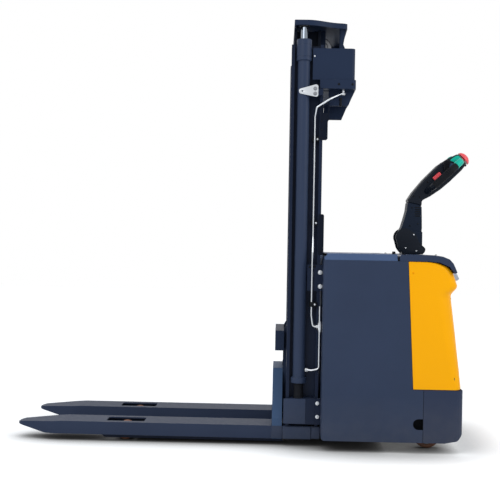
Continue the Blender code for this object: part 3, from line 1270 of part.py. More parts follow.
def build_head_controls():
    """The red safety cap, the butterfly throttle, the lift rocker and the horn button."""
    profile = [(0.0, 0.0290), (0.012, 0.0275), (0.024, 0.0225), (0.032, 0.0140), (0.034, 0.0050),
               (0.033, CAP_TRAVEL + GAP), (0.010, CAP_TRAVEL + GAP), (0.010, -0.008), (0.0, -0.008)]
    cap = turned("safety_cap", profile, (0.0, 0.0, 0.0), "z", ROUND, False)
    aim_along_head(cap, HEAD_TIP_MIDDLE, 0.004)
    hang(cap, "safety_cap", RED)
    shaft = pin("throttle", THROTTLE_PIN_RADIUS, 2 * HEAD_HALF_WIDTH + 0.020,
                (THROTTLE[0], 0.0, THROTTLE[1]), "y", 16)
    wing = rounded([(-0.013, -0.022), (0.013, -0.022), (0.014, 0.027), (-0.014, 0.027)], 0.010, 3)
    for sign in SIDES.values():
        near = HEAD_HALF_WIDTH + RUN
        lobe = plate("throttle_wing", [(THROTTLE[0] + u, THROTTLE[1] + v) for u, v in wing],
                     "side", both(sign, near, near + 0.022))
        join(shaft, lobe)
    hang(shaft, "throttle", DARK_PLASTIC)
    rocker = plate("lift_rocker", circle(ROCKER, ROCKER_RADIUS), "side",
                   (-ROCKER_HALF_WIDTH, ROCKER_HALF_WIDTH))
    hang(rocker, "lift_rocker", GREEN)
    horn = block("horn_button", (-HORN_LENGTH / 2, HORN_LENGTH / 2), (0.0, 0.0125),
                 (-HORN_HEIGHT / 2, HORN_HEIGHT / 2))
    horn.location = (HORN[0], -HEAD_HALF_WIDTH - 0.0005, HORN[1])
    horn.rotation_euler = (0.0, -HEAD_LEAN, 0.0)
    hang(horn, "horn_button", RED)


# ---------------------------------------------------------------- assembly
def place_bodies():
    """Every joint's empty, from the chassis outwards."""
    body("chassis")
    body("inner_mast", (MAST_AXIS_X, 0.0, INNER_BOTTOM), "chassis")
    body("carriage", (MAST_AXIS_X, 0.0, ANCHOR_TOP), "inner_mast")
    body("steer", (STEER_X, 0.0, FRAME_TOP), "chassis")
    body("drive_wheel", (STEER_X, 0.0, DRIVE_WHEEL_RADIUS), "steer")
    body("tiller", (HINGE_X, 0.0, HINGE_Z), "steer")
    body("safety_cap", (HEAD_TIP_MIDDLE[0], 0.0, HEAD_TIP_MIDDLE[1]), "tiller")
    body("throttle", (THROTTLE[0], 0.0, THROTTLE[1]), "tiller")
    body("lift_rocker", (ROCKER[0], 0.0, ROCKER[1]), "tiller")
    body("horn_button", (HORN[0], -HEAD_HALF_WIDTH, HORN[1]), "tiller")
    body("lid", (BODY_FRONT + SHEET, 0.0, LID_TOP), "chassis")
    body("emergency_stop", (SWITCH_FLOOR, -SWITCH_OFFSET, SWITCH_Z), "chassis")
    body("key_switch", (SWITCH_FLOOR, SWITCH_OFFSET, SWITCH_Z), "chassis")
    for name, side in SIDES.items():
        body("load_wheel_" + name, (LOAD_AXLE_X, side * FORK_OFFSET, LOAD_WHEEL_RADIUS), "chassis")
        body("caster_fork_" + name, (CASTER_X, side * CASTER_OFFSET, CASTER_SWIVEL_Z), "chassis")
        body("caster_wheel_" + name,
             (CASTER_X + CASTER_TRAIL, side * CASTER_OFFSET, CASTER_WHEEL_RADIUS), "caster_fork_" + name)
        body("chain_sheave_" + name, (SHEAVE_X, side * SHEAVE_OFFSET, SHEAVE_Z), "inner_mast")
        for piece, holder, across, height, _ in rollers():
            body(piece + name, (MAST_AXIS_X, side * across, height), holder)


def rollers():
    """Name, body that carries it, place across and up, and radius of each mast roller."""
    in_inner = INNER_OFFSET - WEB / 2 - ROLLER_WIDTH / 2 - 0.0035
    on_outer = INNER_OFFSET + WEB / 2 + ROLLER_WIDTH / 2 + 0.003
    on_inner = OUTER_OFFSET - WEB / 2 - ROLLER_WIDTH / 2 - 0.0035
    return [
        ("outer_roller_", "chassis", on_outer, OUTER_ROLLER_Z, OUTER_ROLLER_RADIUS),
        ("inner_roller_", "inner_mast", on_inner, INNER_ROLLER_Z, INNER_ROLLER_RADIUS),
        ("carriage_roller_low_", "carriage", in_inner, CARRIAGE_ROLLER_LOW, OUTER_ROLLER_RADIUS),
        ("carriage_roller_high_", "carriage", in_inner, CARRIAGE_ROLLER_HIGH, OUTER_ROLLER_RADIUS),
    ]


def stand_on_origin():
    """Move the machine so that the middle of its footprint is at the world's zero."""
    bpy.context.view_layer.update()
    graph = bpy.context.evaluated_depsgraph_get()
    low, high = math.inf, -math.inf
    for piece in PARTS.objects:
        if piece.type != "MESH":
            continue
        shape = piece.evaluated_get(graph)
        for vertex in shape.to_mesh().vertices:
            x = (shape.matrix_world @ vertex.co).x
            low, high = min(low, x), max(high, x)
        shape.to_mesh_clear()
    BODIES["chassis"][0].location.x = -(low + high) / 2


def smooth_round_faces():
    for piece in PARTS.objects:
        if piece.type == "MESH":
            piece.data.shade_smooth()
            piece.data.set_sharp_from_angle(angle=math.radians(35.0))


def main():
    place_bodies()
    build_heel()
    build_carriage()
    build_base_beam()
    build_top_tie()
    build_mast_bracket()
    build_lower_tie()
    build_cap()
    for name, side in SIDES.items():
        build_fork("fork_" + name, side)
        build_leg("leg_" + name, side)
        build_outer_rail("outer_rail_" + name, side)
        build_inner_rail("inner_rail_" + name, side)
        build_cylinder("lift_cylinder_" + name, side)
        build_rod("lift_rod_" + name, side)
        build_sheave("chain_sheave_" + name, side)
        build_chain("lift_chain_" + name, side)
        for piece, _, across, height, radius in rollers():
            roller(piece + name, side, across, height, radius)
    build_pipes("feed_pipe", SIDES["right"])
    build_return_pipe()
    build_strap()
    build_frame()
    build_body_shell()
    build_lower_cover()
    build_yellow_cover()
    build_rear_panel()
    build_switches()
    build_top_cover()
    build_display()
    build_lid()
    build_battery()
    build_drive_unit()
    build_wheels()
    build_tiller_base()
    build_tiller_arm()
    build_head()
    build_head_controls()
    smooth_round_faces()
    stand_on_origin()


main()
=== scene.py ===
"""Looks of a pedestrian pallet stacker: finishes, fine parts, light and camera.

Places are written in the machine's own measure, in metres: x = 0 is the front face of the fork
heels, +X runs to the tiller, the near side is -Y. Shape.dress() shifts them into the frame.
"""

import logging
import math
from dataclasses import dataclass
from enum import Enum
from typing import Dict, Iterable, List, Optional, Sequence, Tuple

import bmesh
import bpy
from mathutils import Matrix, Vector


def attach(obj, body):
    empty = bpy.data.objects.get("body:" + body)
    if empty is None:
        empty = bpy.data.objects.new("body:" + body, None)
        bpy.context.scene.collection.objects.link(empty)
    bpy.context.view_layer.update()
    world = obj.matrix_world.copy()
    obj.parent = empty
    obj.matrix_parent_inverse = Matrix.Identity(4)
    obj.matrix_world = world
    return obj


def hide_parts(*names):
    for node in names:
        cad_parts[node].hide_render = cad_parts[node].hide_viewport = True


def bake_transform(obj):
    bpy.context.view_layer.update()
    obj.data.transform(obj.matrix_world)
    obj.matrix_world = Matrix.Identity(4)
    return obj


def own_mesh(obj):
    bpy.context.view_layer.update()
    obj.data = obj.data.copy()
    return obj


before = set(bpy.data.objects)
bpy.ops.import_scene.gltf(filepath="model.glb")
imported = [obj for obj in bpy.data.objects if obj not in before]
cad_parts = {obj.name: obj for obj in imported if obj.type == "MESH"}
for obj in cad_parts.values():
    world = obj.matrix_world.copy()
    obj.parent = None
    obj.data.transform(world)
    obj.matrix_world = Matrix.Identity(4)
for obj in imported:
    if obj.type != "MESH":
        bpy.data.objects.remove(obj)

logging.basicConfig(level=logging.INFO, format="%(message)s")
LOG = logging.getLogger("stacker")

SHIFT = 0.123624              # machine X to frame X
SIDES = (1, -1)
NAMES = {1: "left", -1: "right"}
Flat = Tuple[float, float]
Place = Tuple[float, float, float]
ORIGIN: Place = (0.0, 0.0, 0.0)
DUST = "A39C90"               # colour of dust from the floor


class Facing(Enum):
    """Directions a part's own +Z may look."""

    UP = (0.0, 0.0, 1.0)
    DOWN = (0.0, 0.0, -1.0)
    NEAR = (0.0, -1.0, 0.0)
    FAR = (0.0, 1.0, 0.0)
    REAR = (1.0, 0.0, 0.0)
    FRONT = (-1.0, 0.0, 0.0)


def outwards(side: int) -> Tuple[float, float, float]:
    """Direction out of the machine on one side."""
    return (0.0, float(side), 0.0)


# ---------------------------------------------------------------- finishes
def linear(code: str) -> Tuple[float, float, float, float]:
    """Turn a screen colour code into a scene-linear colour.

    Args:
        code: Six hexadecimal digits.

    Returns:
        Red, green, blue and alpha.
    """
    parts = [int(code[i:i + 2], 16) / 255.0 for i in (0, 2, 4)]
    lit = [p / 12.92 if p <= 0.04045 else ((p + 0.055) / 1.055) ** 2.4 for p in parts]
    return (lit[0], lit[1], lit[2], 1.0)


class Groups:
    """Node groups that several finishes share."""

    made: Dict[str, bpy.types.NodeTree] = {}

    @classmethod
    def tree(cls, name: str, inputs: Sequence[Tuple[str, float]],
             outputs: Sequence[Tuple[str, str]]) -> bpy.types.NodeTree:
        """Start a group with named sockets.

        Args:
            name: Name of the group.
            inputs: Name and default of each value input.
            outputs: Name and socket type of each output.

        Returns:
            The new node tree with its two end nodes.
        """
        tree = bpy.data.node_groups.new(name, "ShaderNodeTree")
        for label, value in inputs:
            socket = tree.interface.new_socket(label, in_out="INPUT", socket_type="NodeSocketFloat")
            socket.default_value = value
        for label, kind in outputs:
            tree.interface.new_socket(label, in_out="OUTPUT", socket_type=kind)
        tree.nodes.new("NodeGroupInput").name = "in"
        tree.nodes.new("NodeGroupOutput").name = "out"
        cls.made[name] = tree
        return tree

    @staticmethod
    def fill(tree: bpy.types.NodeTree, node: bpy.types.Node, inputs: Dict[object, object]) -> None:
        """Link or set the inputs of a node.

        Args:
            tree: The tree that holds the node.
            node: The node.
            inputs: A socket or a value for each input, by name or number.

        Returns:
            Nothing.
        """
        for label, value in inputs.items():
            if isinstance(value, bpy.types.NodeSocket):
                tree.links.new(value, node.inputs[label])
            else:
                node.inputs[label].default_value = value

    @classmethod
    def node(cls, tree: bpy.types.NodeTree, kind: str, inputs: Dict[object, object],
             **settings: object) -> bpy.types.Node:
        """Add a shader node.

        Args:
            tree: The tree that gets the node.
            kind: Its type.
            inputs: A socket or a value for each input, by name or number.
            **settings: Properties of the node.

        Returns:
            The node.
        """
        node = tree.nodes.new("ShaderNode" + kind)
        for label, value in settings.items():
            setattr(node, label, value)
        cls.fill(tree, node, inputs)
        return node

    @classmethod
    def maths(cls, tree: bpy.types.NodeTree, kind: str, *values: object,
              clamp: bool = False) -> bpy.types.NodeSocket:
        """Add one sum to a tree."""
        node = cls.node(tree, "Math", dict(enumerate(values)), operation=kind, use_clamp=clamp)
        return node.outputs[0]

    @classmethod
    def noise(cls, tree: bpy.types.NodeTree, place: bpy.types.NodeSocket, scale: object,
              detail: float) -> bpy.types.NodeSocket:
        """Add a noise to a tree."""
        return cls.node(tree, "TexNoise",
                        {"Vector": place, "Scale": scale, "Detail": detail}).outputs[0]

    @classmethod
    def grain(cls) -> bpy.types.NodeTree:
        """Fine surface texture: a height, a change of roughness and slow mottling.

        Returns:
            The group, made once.
        """
        if "surface grain" in cls.made:
            return cls.made["surface grain"]
        tree = cls.tree("surface grain", [("Scale", 600.0), ("Stretch", 1.0)],
                        [("Height", "NodeSocketFloat"), ("Uneven", "NodeSocketFloat"),
                         ("Mottle", "NodeSocketFloat")])
        given = tree.nodes["in"].outputs
        place = cls.node(tree, "TexCoord", {}).outputs["Object"]
        spread = cls.node(tree, "CombineXYZ", {0: 1.0, 1: 1.0, 2: given["Stretch"]})
        squeezed = cls.node(tree, "Mapping", {"Vector": place, "Scale": spread.outputs[0]})
        fine = cls.noise(tree, squeezed.outputs[0], given["Scale"], 4.0)
        middle = cls.noise(tree, place, 45.0, 6.0)
        slow = cls.noise(tree, place, 6.0, 5.0)
        cls.fill(tree, tree.nodes["out"], {
            "Height": fine,
            "Uneven": cls.maths(tree, "SUBTRACT", middle, 0.5),
            "Mottle": cls.maths(tree, "SUBTRACT", slow, 0.5)})
        return tree

    @classmethod
    def edges(cls) -> bpy.types.NodeTree:
        """Rounded look on sharp edges, and a mask of where they are rubbed.

        Returns:
            The group, made once.
        """
        if "worn edges" in cls.made:
            return cls.made["worn edges"]
        tree = cls.tree("worn edges", [("Radius", 0.002), ("Amount", 0.3)],
                        [("Mask", "NodeSocketFloat"), ("Normal", "NodeSocketVector")])
        given = tree.nodes["in"].outputs
        place = cls.node(tree, "TexCoord", {}).outputs["Object"]
        soft = cls.node(tree, "Bevel", {"Radius": given["Radius"]}, samples=4).outputs[0]
        true = cls.node(tree, "NewGeometry", {}).outputs["Normal"]
        dot = cls.node(tree, "VectorMath", {0: soft, 1: true}, operation="DOT_PRODUCT")
        turned_off = cls.maths(tree, "SUBTRACT", 1.0, dot.outputs["Value"], clamp=True)
        edge = cls.maths(tree, "MULTIPLY", turned_off, 9.0, clamp=True)
        broken = cls.maths(tree, "MULTIPLY_ADD", cls.noise(tree, place, 60.0, 6.0), 7.0, -3.4,
                           clamp=True)
        rub = cls.maths(tree, "MULTIPLY", edge, broken)
        cls.fill(tree, tree.nodes["out"], {
            "Mask": cls.maths(tree, "MULTIPLY", rub, given["Amount"], clamp=True),
            "Normal": soft})
        return tree

    @classmethod
    def dust(cls) -> bpy.types.NodeTree:
        """Dust that lies near the floor.

        Returns:
            The group, made once.
        """
        if "floor dust" in cls.made:
            return cls.made["floor dust"]
        tree = cls.tree("floor dust", [("Amount", 0.2), ("Height", 0.25)],
                        [("Mask", "NodeSocketFloat")])
        given = tree.nodes["in"].outputs
        place = cls.node(tree, "TexCoord", {}).outputs["Object"]
        height = cls.node(tree, "SeparateXYZ", {0: place}).outputs["Z"]
        share = cls.maths(tree, "DIVIDE", height, given["Height"])
        low = cls.maths(tree, "SUBTRACT", 1.0, share, clamp=True)
        patchy = cls.maths(tree, "MULTIPLY", low, cls.noise(tree, place, 18.0, 7.0))
        cls.fill(tree, tree.nodes["out"], {
            "Mask": cls.maths(tree, "MULTIPLY", patchy, given["Amount"], clamp=True)})
        return tree


@dataclass(frozen=True)
class Finish:
    """One finish: its colour, its sheen, and how it is worn."""

    name: str
    colour: str
    slot: str
    roughness: float
    metallic: float = 0.0
    coat: float = 0.0
    grain: float = 600.0
    depth: float = 0.00004
    stretch: float = 1.0
    mottle: float = 0.10
    uneven: float = 0.15
    wear: float = 0.0
    bare: str = "9A9DA3"
    dust: float = 0.0
    edge: float = 0.0012
    shine: float = 0.18

    def material(self) -> bpy.types.Material:
        """The material of this finish, made once.

        Returns:
            A node material.
        """
        found = bpy.data.materials.get("finish_" + self.name)
        if found:
            return found
        material = bpy.data.materials.new("finish_" + self.name)
        material.use_nodes = True
        tree = material.node_tree
        grain = Groups.node(tree, "Group", {"Scale": self.grain, "Stretch": self.stretch},
                            node_tree=Groups.grain()).outputs
        edges = Groups.node(tree, "Group", {"Radius": self.edge, "Amount": self.wear},
                            node_tree=Groups.edges()).outputs
        dust = Groups.node(tree, "Group", {"Amount": self.dust},
                           node_tree=Groups.dust()).outputs
        value = Groups.maths(tree, "MULTIPLY_ADD", grain["Mottle"], self.mottle * 2.0, 1.0)
        tint = Groups.node(tree, "HueSaturation", {"Color": linear(self.colour), "Value": value})
        rubbed = self.mix(tree, edges["Mask"], tint.outputs[0], linear(self.bare))
        rough = Groups.maths(tree, "MULTIPLY_ADD", grain["Uneven"], self.uneven, self.roughness,
                             clamp=True)
        bump = Groups.node(tree, "Bump", {"Distance": self.depth, "Strength": 1.0,
                                          "Height": grain["Height"], "Normal": edges["Normal"]})
        Groups.fill(tree, tree.nodes["Principled BSDF"], {
            "Base Color": self.mix(tree, dust["Mask"], rubbed, linear(DUST)),
            "Roughness": Groups.maths(tree, "MULTIPLY_ADD", dust["Mask"], 0.4, rough, clamp=True),
            "Metallic": Groups.maths(tree, "MAXIMUM", edges["Mask"], self.metallic, clamp=True),
            "Specular IOR Level": self.shine,
            "Coat Weight": self.coat,
            "Coat Roughness": 0.12,
            "Normal": bump.outputs[0]})
        return material

    @staticmethod
    def mix(tree: bpy.types.NodeTree, share: bpy.types.NodeSocket, under: bpy.types.NodeSocket,
            over: Tuple[float, float, float, float]) -> bpy.types.NodeSocket:
        """Lay one colour over another by a mask."""
        return Groups.node(tree, "Mix", {0: share, 6: under, 7: over}, data_type="RGBA").outputs[2]


class Finishes:
    """Every finish of the machine."""

    SLATE = Finish("slate", "2B374F", "slate_paint", 0.46, grain=420.0, depth=0.00010,
                   wear=0.20, dust=0.10)
    MAST = Finish("mast", "152036", "mast_paint", 0.46, grain=420.0, depth=0.00010,
                  wear=0.25, dust=0.03, shine=0.13)
    # A darker, duller copy of the slate paint: painted shade for the carriage frame, the top tie
    # and the inner mast's cap.
    CAP_SHADED = Finish("cap", "242F45", "slate_paint", 0.46, grain=420.0, depth=0.00010,
                 wear=0.15, shine=0.07)
    # A darker copy of the mast paint: painted shade for the inner rails, the lower tie and the
    # guard plates.
    INNER_SHADED = Finish("inner", "0B1220", "mast_paint", 0.46, grain=420.0, depth=0.00010,
                   wear=0.15, shine=0.08)
    # A lighter, bluer copy of the slate paint: painted sky light, used on the fork back plate and
    # the head's thumb pads.
    HEEL_SKYLIT = Finish("heel", "425878", "slate_paint", 0.44, grain=350.0, depth=0.00010,
                  wear=0.40, dust=0.03, shine=0.06)
    # A lighter, bluer copy of the slate paint: painted sky reflection on the battery cover.
    LID_SKYLIT = Finish("lid", "43577A", "slate_paint", 0.42, coat=0.04, grain=420.0, depth=0.00008,
                 wear=0.25)
    FORK = Finish("fork", "343D52", "fork_paint", 0.44, grain=300.0, depth=0.00008,
                  wear=0.35, edge=0.0016, shine=0.06)
    YELLOW = Finish("yellow", "FFB000", "yellow_cover", 0.38, coat=0.03, grain=700.0, depth=0.00004,
                    mottle=0.03, edge=0.0022, shine=0.10)
    PLASTIC = Finish("dark_plastic", "29334A", "dark_plastic", 0.50, grain=900.0, depth=0.00016,
                     mottle=0.05, dust=0.15, edge=0.0020)
    DECK = Finish("deck", "22304A", "dark_plastic", 0.38, coat=0.15, grain=900.0, depth=0.00012,
                  mottle=0.05, edge=0.0022)
    TILLER = Finish("tiller", "0F1621", "tiller_plastic", 0.44, coat=0.08, grain=1100.0,
                    depth=0.00014, mottle=0.04, edge=0.0020, shine=0.10)
    ARM = Finish("arm", "192231", "tiller_plastic", 0.46, grain=1100.0, depth=0.00014,
                 mottle=0.04, edge=0.0020, shine=0.08)
    RUBBER = Finish("rubber", "090C13", "tiller_plastic", 0.72, grain=1500.0, depth=0.00020)
    ZINC = Finish("zinc", "C9CDD2", "zinc_plate", 0.30, metallic=1.0, grain=260.0, mottle=0.12)
    CHROME = Finish("chrome", "808892", "hard_chrome", 0.12, metallic=1.0, grain=900.0,
                    depth=0.00001, stretch=0.05, mottle=0.03, uneven=0.06)
    STEEL = Finish("steel", "85878C", "bright_steel", 0.34, metallic=1.0, grain=500.0)
    BLACK_STEEL = Finish("black_steel", "1C1D21", "bright_steel", 0.42, metallic=0.5, grain=500.0)
    CHAIN = Finish("chain", "3C3D41", "chain_steel", 0.38, metallic=1.0, grain=700.0, mottle=0.25)
    TYRE = Finish("tyre", "7A3F1C", "polyurethane", 0.42, coat=0.10, grain=500.0, depth=0.00010,
                  mottle=0.12, dust=0.4, edge=0.0015)
    RED = Finish("red", "EC565D", "red_plastic", 0.34, coat=0.20, grain=1300.0, mottle=0.03)
    STOP = Finish("stop", "C81E22", "red_plastic", 0.28, coat=0.35, mottle=0.03)
    GREEN = Finish("green", "0FB39C", "green_plastic", 0.36, grain=1200.0, mottle=0.04)
    PANEL = Finish("panel", "AEB7C4", "grey_panel", 0.40, grain=1000.0, mottle=0.04)
    GLASS = Finish("glass", "11161C", "grey_panel", 0.08, coat=0.8, depth=0.0, mottle=0.02)
    BATTERY = Finish("battery", "2E2F33", "battery_case", 0.60, grain=500.0, depth=0.0002)
    LEAD = Finish("lead", "7C7F84", "battery_case", 0.48, metallic=1.0, grain=200.0, mottle=0.3)


# ---------------------------------------------------------------- shapes
def arc(centre: Flat, radius: float, start: float, end: float, count: int) -> List[Flat]:
    """Points on an arc."""
    angles = [math.radians(start + (end - start) * i / count) for i in range(count + 1)]
    return [(centre[0] + radius * math.cos(a), centre[1] + radius * math.sin(a)) for a in angles]


def rectangle(x: Flat, y: Flat) -> List[Flat]:
    """Four corners of a rectangle."""
    return [(x[0], y[0]), (x[1], y[0]), (x[1], y[1]), (x[0], y[1])]


def rounded(outline: Sequence[Flat], radius: float, count: int = 5) -> List[Flat]:
    """Round every corner of an outline.

    Args:
        outline: The corners.
        radius: Radius at each of them.
        count: Steps in each corner.

    Returns:
        The longer outline.
    """
    points: List[Flat] = []
    for index, corner in enumerate(outline):
        here = Vector(corner)
        back = (Vector(outline[index - 1]) - here)
        forth = (Vector(outline[(index + 1) % len(outline)]) - here)
        half = back.angle(forth) / 2
        reach = min(radius / math.tan(half), 0.49 * back.length, 0.49 * forth.length)
        start, end = here + back.normalized() * reach, here + forth.normalized() * reach
        for step in range(count + 1):
            t = step / count
            point = start.lerp(here, t).lerp(here.lerp(end, t), t)
            points.append((point.x, point.y))
    return points


def bent(route: Sequence[Place], radius: float, count: int = 8) -> List[Vector]:
    """Round the inner corners of a route in space.

    Args:
        route: Its points.
        radius: Bend radius.
        count: Steps in each bend.

    Returns:
        The smooth route.
    """
    points = [Vector(route[0])]
    for before, corner, after in zip(route, route[1:], route[2:]):
        here = Vector(corner)
        back, forth = Vector(before) - here, Vector(after) - here
        reach = radius / math.tan(back.angle(forth) / 2)
        start, end = here + back.normalized() * reach, here + forth.normalized() * reach
        for step in range(count + 1):
            t = step / count
            points.append(start.lerp(here, t).lerp(here.lerp(end, t), t))
    points.append(Vector(route[-1]))
    return points


class Shape:
    """A mesh that grows part by part and is then dressed as one piece."""

    def __init__(self, name: str) -> None:
        """Start empty.

        Args:
            name: Name of the piece.
        """
        self.name = name
        self.mesh = bmesh.new()
        self.place = Matrix.Identity(4)

    def at(self, point: Place, facing: object = Facing.UP, turn: float = 0.0) -> "Shape":
        """Set where the next parts go.

        Args:
            point: The new zero.
            facing: Direction of the parts' own +Z.
            turn: Turn about that direction, in degrees.

        Returns:
            This shape.
        """
        look = Vector(facing.value if isinstance(facing, Facing) else facing).normalized()
        up = Vector((0.0, 1.0, 0.0)) if abs(look.z) > 0.9 else Vector((0.0, 0.0, 1.0))
        across = up.cross(look).normalized()
        stance = Matrix((across, look.cross(across), look)).transposed().to_4x4()
        spin = Matrix.Rotation(math.radians(turn), 4, "Z")
        self.place = Matrix.Translation(point) @ stance @ spin
        return self

    def take(self, mesh: bpy.types.Mesh) -> "Shape":
        """Add a finished mesh at the present place.

        Args:
            mesh: The mesh, which is used up.

        Returns:
            This shape.
        """
        mesh.transform(self.place)
        self.mesh.from_mesh(mesh)
        bpy.data.meshes.remove(mesh)
        return self

    def curve(self, curve: bpy.types.Curve) -> "Shape":
        """Add what a curve looks like.

        Args:
            curve: The curve, which is used up.

        Returns:
            This shape.
        """
        helper = bpy.data.objects.new("helper", curve)
        bpy.context.scene.collection.objects.link(helper)
        graph = bpy.context.evaluated_depsgraph_get()
        mesh = bpy.data.meshes.new_from_object(helper.evaluated_get(graph))
        bpy.data.objects.remove(helper, do_unlink=True)
        bpy.data.curves.remove(curve)
        return self.take(mesh)

    def slab(self, outline: Sequence[Flat], low: float, high: float, edge: float = 0.0,
             holes: Sequence[Sequence[Flat]] = ()) -> "Shape":
        """Add a plate with rounded edges.

        Args:
            outline: Its outline in the part's own X and Y.
            low: Where it starts along Z.
            high: Where it ends.
            edge: Radius of the edges.
            holes: Outlines cut out of it.

        Returns:
            This shape.
        """
        curve = bpy.data.curves.new("slab", "CURVE")
        curve.dimensions = "2D"
        curve.fill_mode = "BOTH"
        curve.extrude = (high - low) / 2 - edge
        curve.bevel_depth = edge
        curve.bevel_resolution = 2
        curve.offset = -edge
        for loop in (outline, *holes):
            spline = curve.splines.new("POLY")
            spline.points.add(len(loop) - 1)
            for point, (u, v) in zip(spline.points, loop):
                point.co = (u, v, 0.0, 1.0)
            spline.use_cyclic_u = True
        kept = self.place.copy()
        self.place = self.place @ Matrix.Translation((0.0, 0.0, (low + high) / 2))
        self.curve(curve)
        self.place = kept
        return self

    def box(self, x: Flat, y: Flat, z: Flat, edge: float = 0.001, corner: float = 0.0) -> "Shape":
        """Add a block with rounded corners and edges."""
        return self.slab(rounded(rectangle(x, y), max(corner, 1.5 * edge)), z[0], z[1], edge)

    def beside(self, side: int, x: Flat, out: Flat, z: Flat, edge: float = 0.001) -> "Shape":
        """Add a block on one side of the machine."""
        low, high = sorted((side * out[0], side * out[1]))
        return self.at(ORIGIN).box(x, (low, high), z, edge)

    def sheet(self, side: int, outline: Sequence[Flat], out: Flat, edge: float = 0.0,
              holes: Sequence[Sequence[Flat]] = (), zero: Flat = (0.0, 0.0)) -> "Shape":
        """Add an upright plate on one side of the machine.

        Args:
            side: 1 for the left side, -1 for the right side.
            outline: Its outline in X and Z.
            out: Its two distances from the middle plane.
            edge: Radius of its edges.
            holes: Outlines cut out of it.
            zero: X and Z that the outline is measured from.

        Returns:
            This shape.
        """
        low, high = sorted((-side * out[0], -side * out[1]))
        self.at((zero[0], 0.0, zero[1]), Facing.NEAR)
        return self.slab(outline, low, high, edge, holes)

    def fasten(self, out: float, places: Sequence[Flat], head: float,
               height: float = 0.0) -> "Shape":
        """Add bolts, or screws where no height is given, on both sides.

        Args:
            out: Distance of their seats from the middle plane.
            places: X and Z of each.
            head: Width of a bolt or radius of a screw.
            height: Height of a bolt.

        Returns:
            This shape.
        """
        for side in SIDES:
            for x, z in places:
                self.at((x, side * out, z), outwards(side))
                if height:
                    self.bolt(head, height)
                else:
                    self.screw(head)
        return self

    def tube(self, route: Iterable[object], radius: float, fine: int = 4) -> "Shape":
        """Add a round bar along a route.

        Args:
            route: Its points.
            radius: Its radius.
            fine: Resolution round it.

        Returns:
            This shape.
        """
        points = list(route)
        curve = bpy.data.curves.new("tube", "CURVE")
        curve.dimensions = "3D"
        curve.bevel_depth = radius
        curve.bevel_resolution = fine
        curve.use_fill_caps = True
        spline = curve.splines.new("POLY")
        spline.points.add(len(points) - 1)
        for point, place in zip(spline.points, points):
            point.co = (*place, 1.0)
        return self.curve(curve)

    def lathe(self, profile: Sequence[Flat], steps: int = 40) -> "Shape":
        """Turn a profile round the part's own Z.

        Args:
            profile: Radius and height of each point.
            steps: Facets round the axis.

        Returns:
            This shape.
        """
        rings: List[List[bmesh.types.BMVert]] = []
        for radius, height in profile:
            count = steps if radius > 1e-6 else 1
            angles = [2 * math.pi * i / steps for i in range(count)]
            rings.append([self.mesh.verts.new(
                self.place @ Vector((radius * math.cos(a), radius * math.sin(a), height)))
                for a in angles])
        for low, high in zip(rings, rings[1:]):
            for i in range(steps):
                j = (i + 1) % steps
                corners = [low[i % len(low)], low[j % len(low)], high[j % len(high)],
                           high[i % len(high)]]
                face = list(dict.fromkeys(corners))
                if len(face) > 2:
                    self.mesh.faces.new(face)
        return self

    def nut(self, width: float, height: float) -> "Shape":
        """Add a hexagon with turned-off corners.

        Args:
            width: Across its flats.
            height: Its height.

        Returns:
            This shape.
        """
        corner = width / math.sqrt(3.0)
        bevel = 0.10 * width
        return self.lathe([(0.0, 0.0), (corner, 0.0), (corner, height - 0.6 * bevel),
                           (corner - bevel, height), (0.0, height)], 6)

    def bolt(self, width: float, height: float) -> "Shape":
        """Add a hexagon head on its washer, with a dished top.

        Args:
            width: Across its flats.
            height: Its height over the washer.

        Returns:
            This shape.
        """
        washer = 0.14 * width
        self.lathe([(0.0, 0.0), (0.98 * width, 0.0), (1.02 * width, 0.4 * washer),
                    (0.96 * width, washer), (0.0, washer)], 28)
        kept = self.place.copy()
        self.place = self.place @ Matrix.Translation((0.0, 0.0, washer))
        self.nut(width, height)
        self.place = self.place @ Matrix.Translation((0.0, 0.0, height))
        self.lathe([(0.34 * width, -0.0002), (0.36 * width, 0.0003), (0.30 * width, 0.0003),
                    (0.26 * width, -0.0006), (0.0, -0.0006)], 20)
        self.place = kept
        return self

    def screw(self, radius: float) -> "Shape":
        """Add a domed screw with a hexagon socket.

        Args:
            radius: Radius of its head.

        Returns:
            This shape.
        """
        high = 0.6 * radius
        self.lathe([(0.0, 0.0), (radius, 0.0), (radius, 0.25 * high), (0.86 * radius, 0.72 * high),
                    (0.58 * radius, high), (0.5 * radius, high)], 28)
        return self.lathe([(0.5 * radius, high), (0.46 * radius, 0.3 * high), (0.0, 0.3 * high)], 6)

    def weld(self, start: Place, end: Place, radius: float) -> "Shape":
        """Add a rippled weld bead between two points.

        Args:
            start: One end.
            end: The other end.
            radius: Its radius.

        Returns:
            This shape.
        """
        run = Vector(end) - Vector(start)
        count = max(2, int(run.length / (1.1 * radius)))
        step = run.length / count
        profile = [(0.0, 0.0)]
        for i in range(count):
            middle = step * (i + 0.5)
            profile += [(0.80 * radius, middle - 0.45 * step), (radius, middle)]
        return self.at(start, run).lathe(profile + [(0.0, run.length)], 8)

    def beads(self, lines: Sequence[Tuple[Place, Place, float]]) -> "Shape":
        """Add weld beads on both sides of the machine.

        Args:
            lines: Both ends on the left side and the radius of each.

        Returns:
            This shape.
        """
        for side in SIDES:
            for (x0, y0, z0), (x1, y1, z1), radius in lines:
                self.weld((x0, side * y0, z0), (x1, side * y1, z1), radius)
        return self

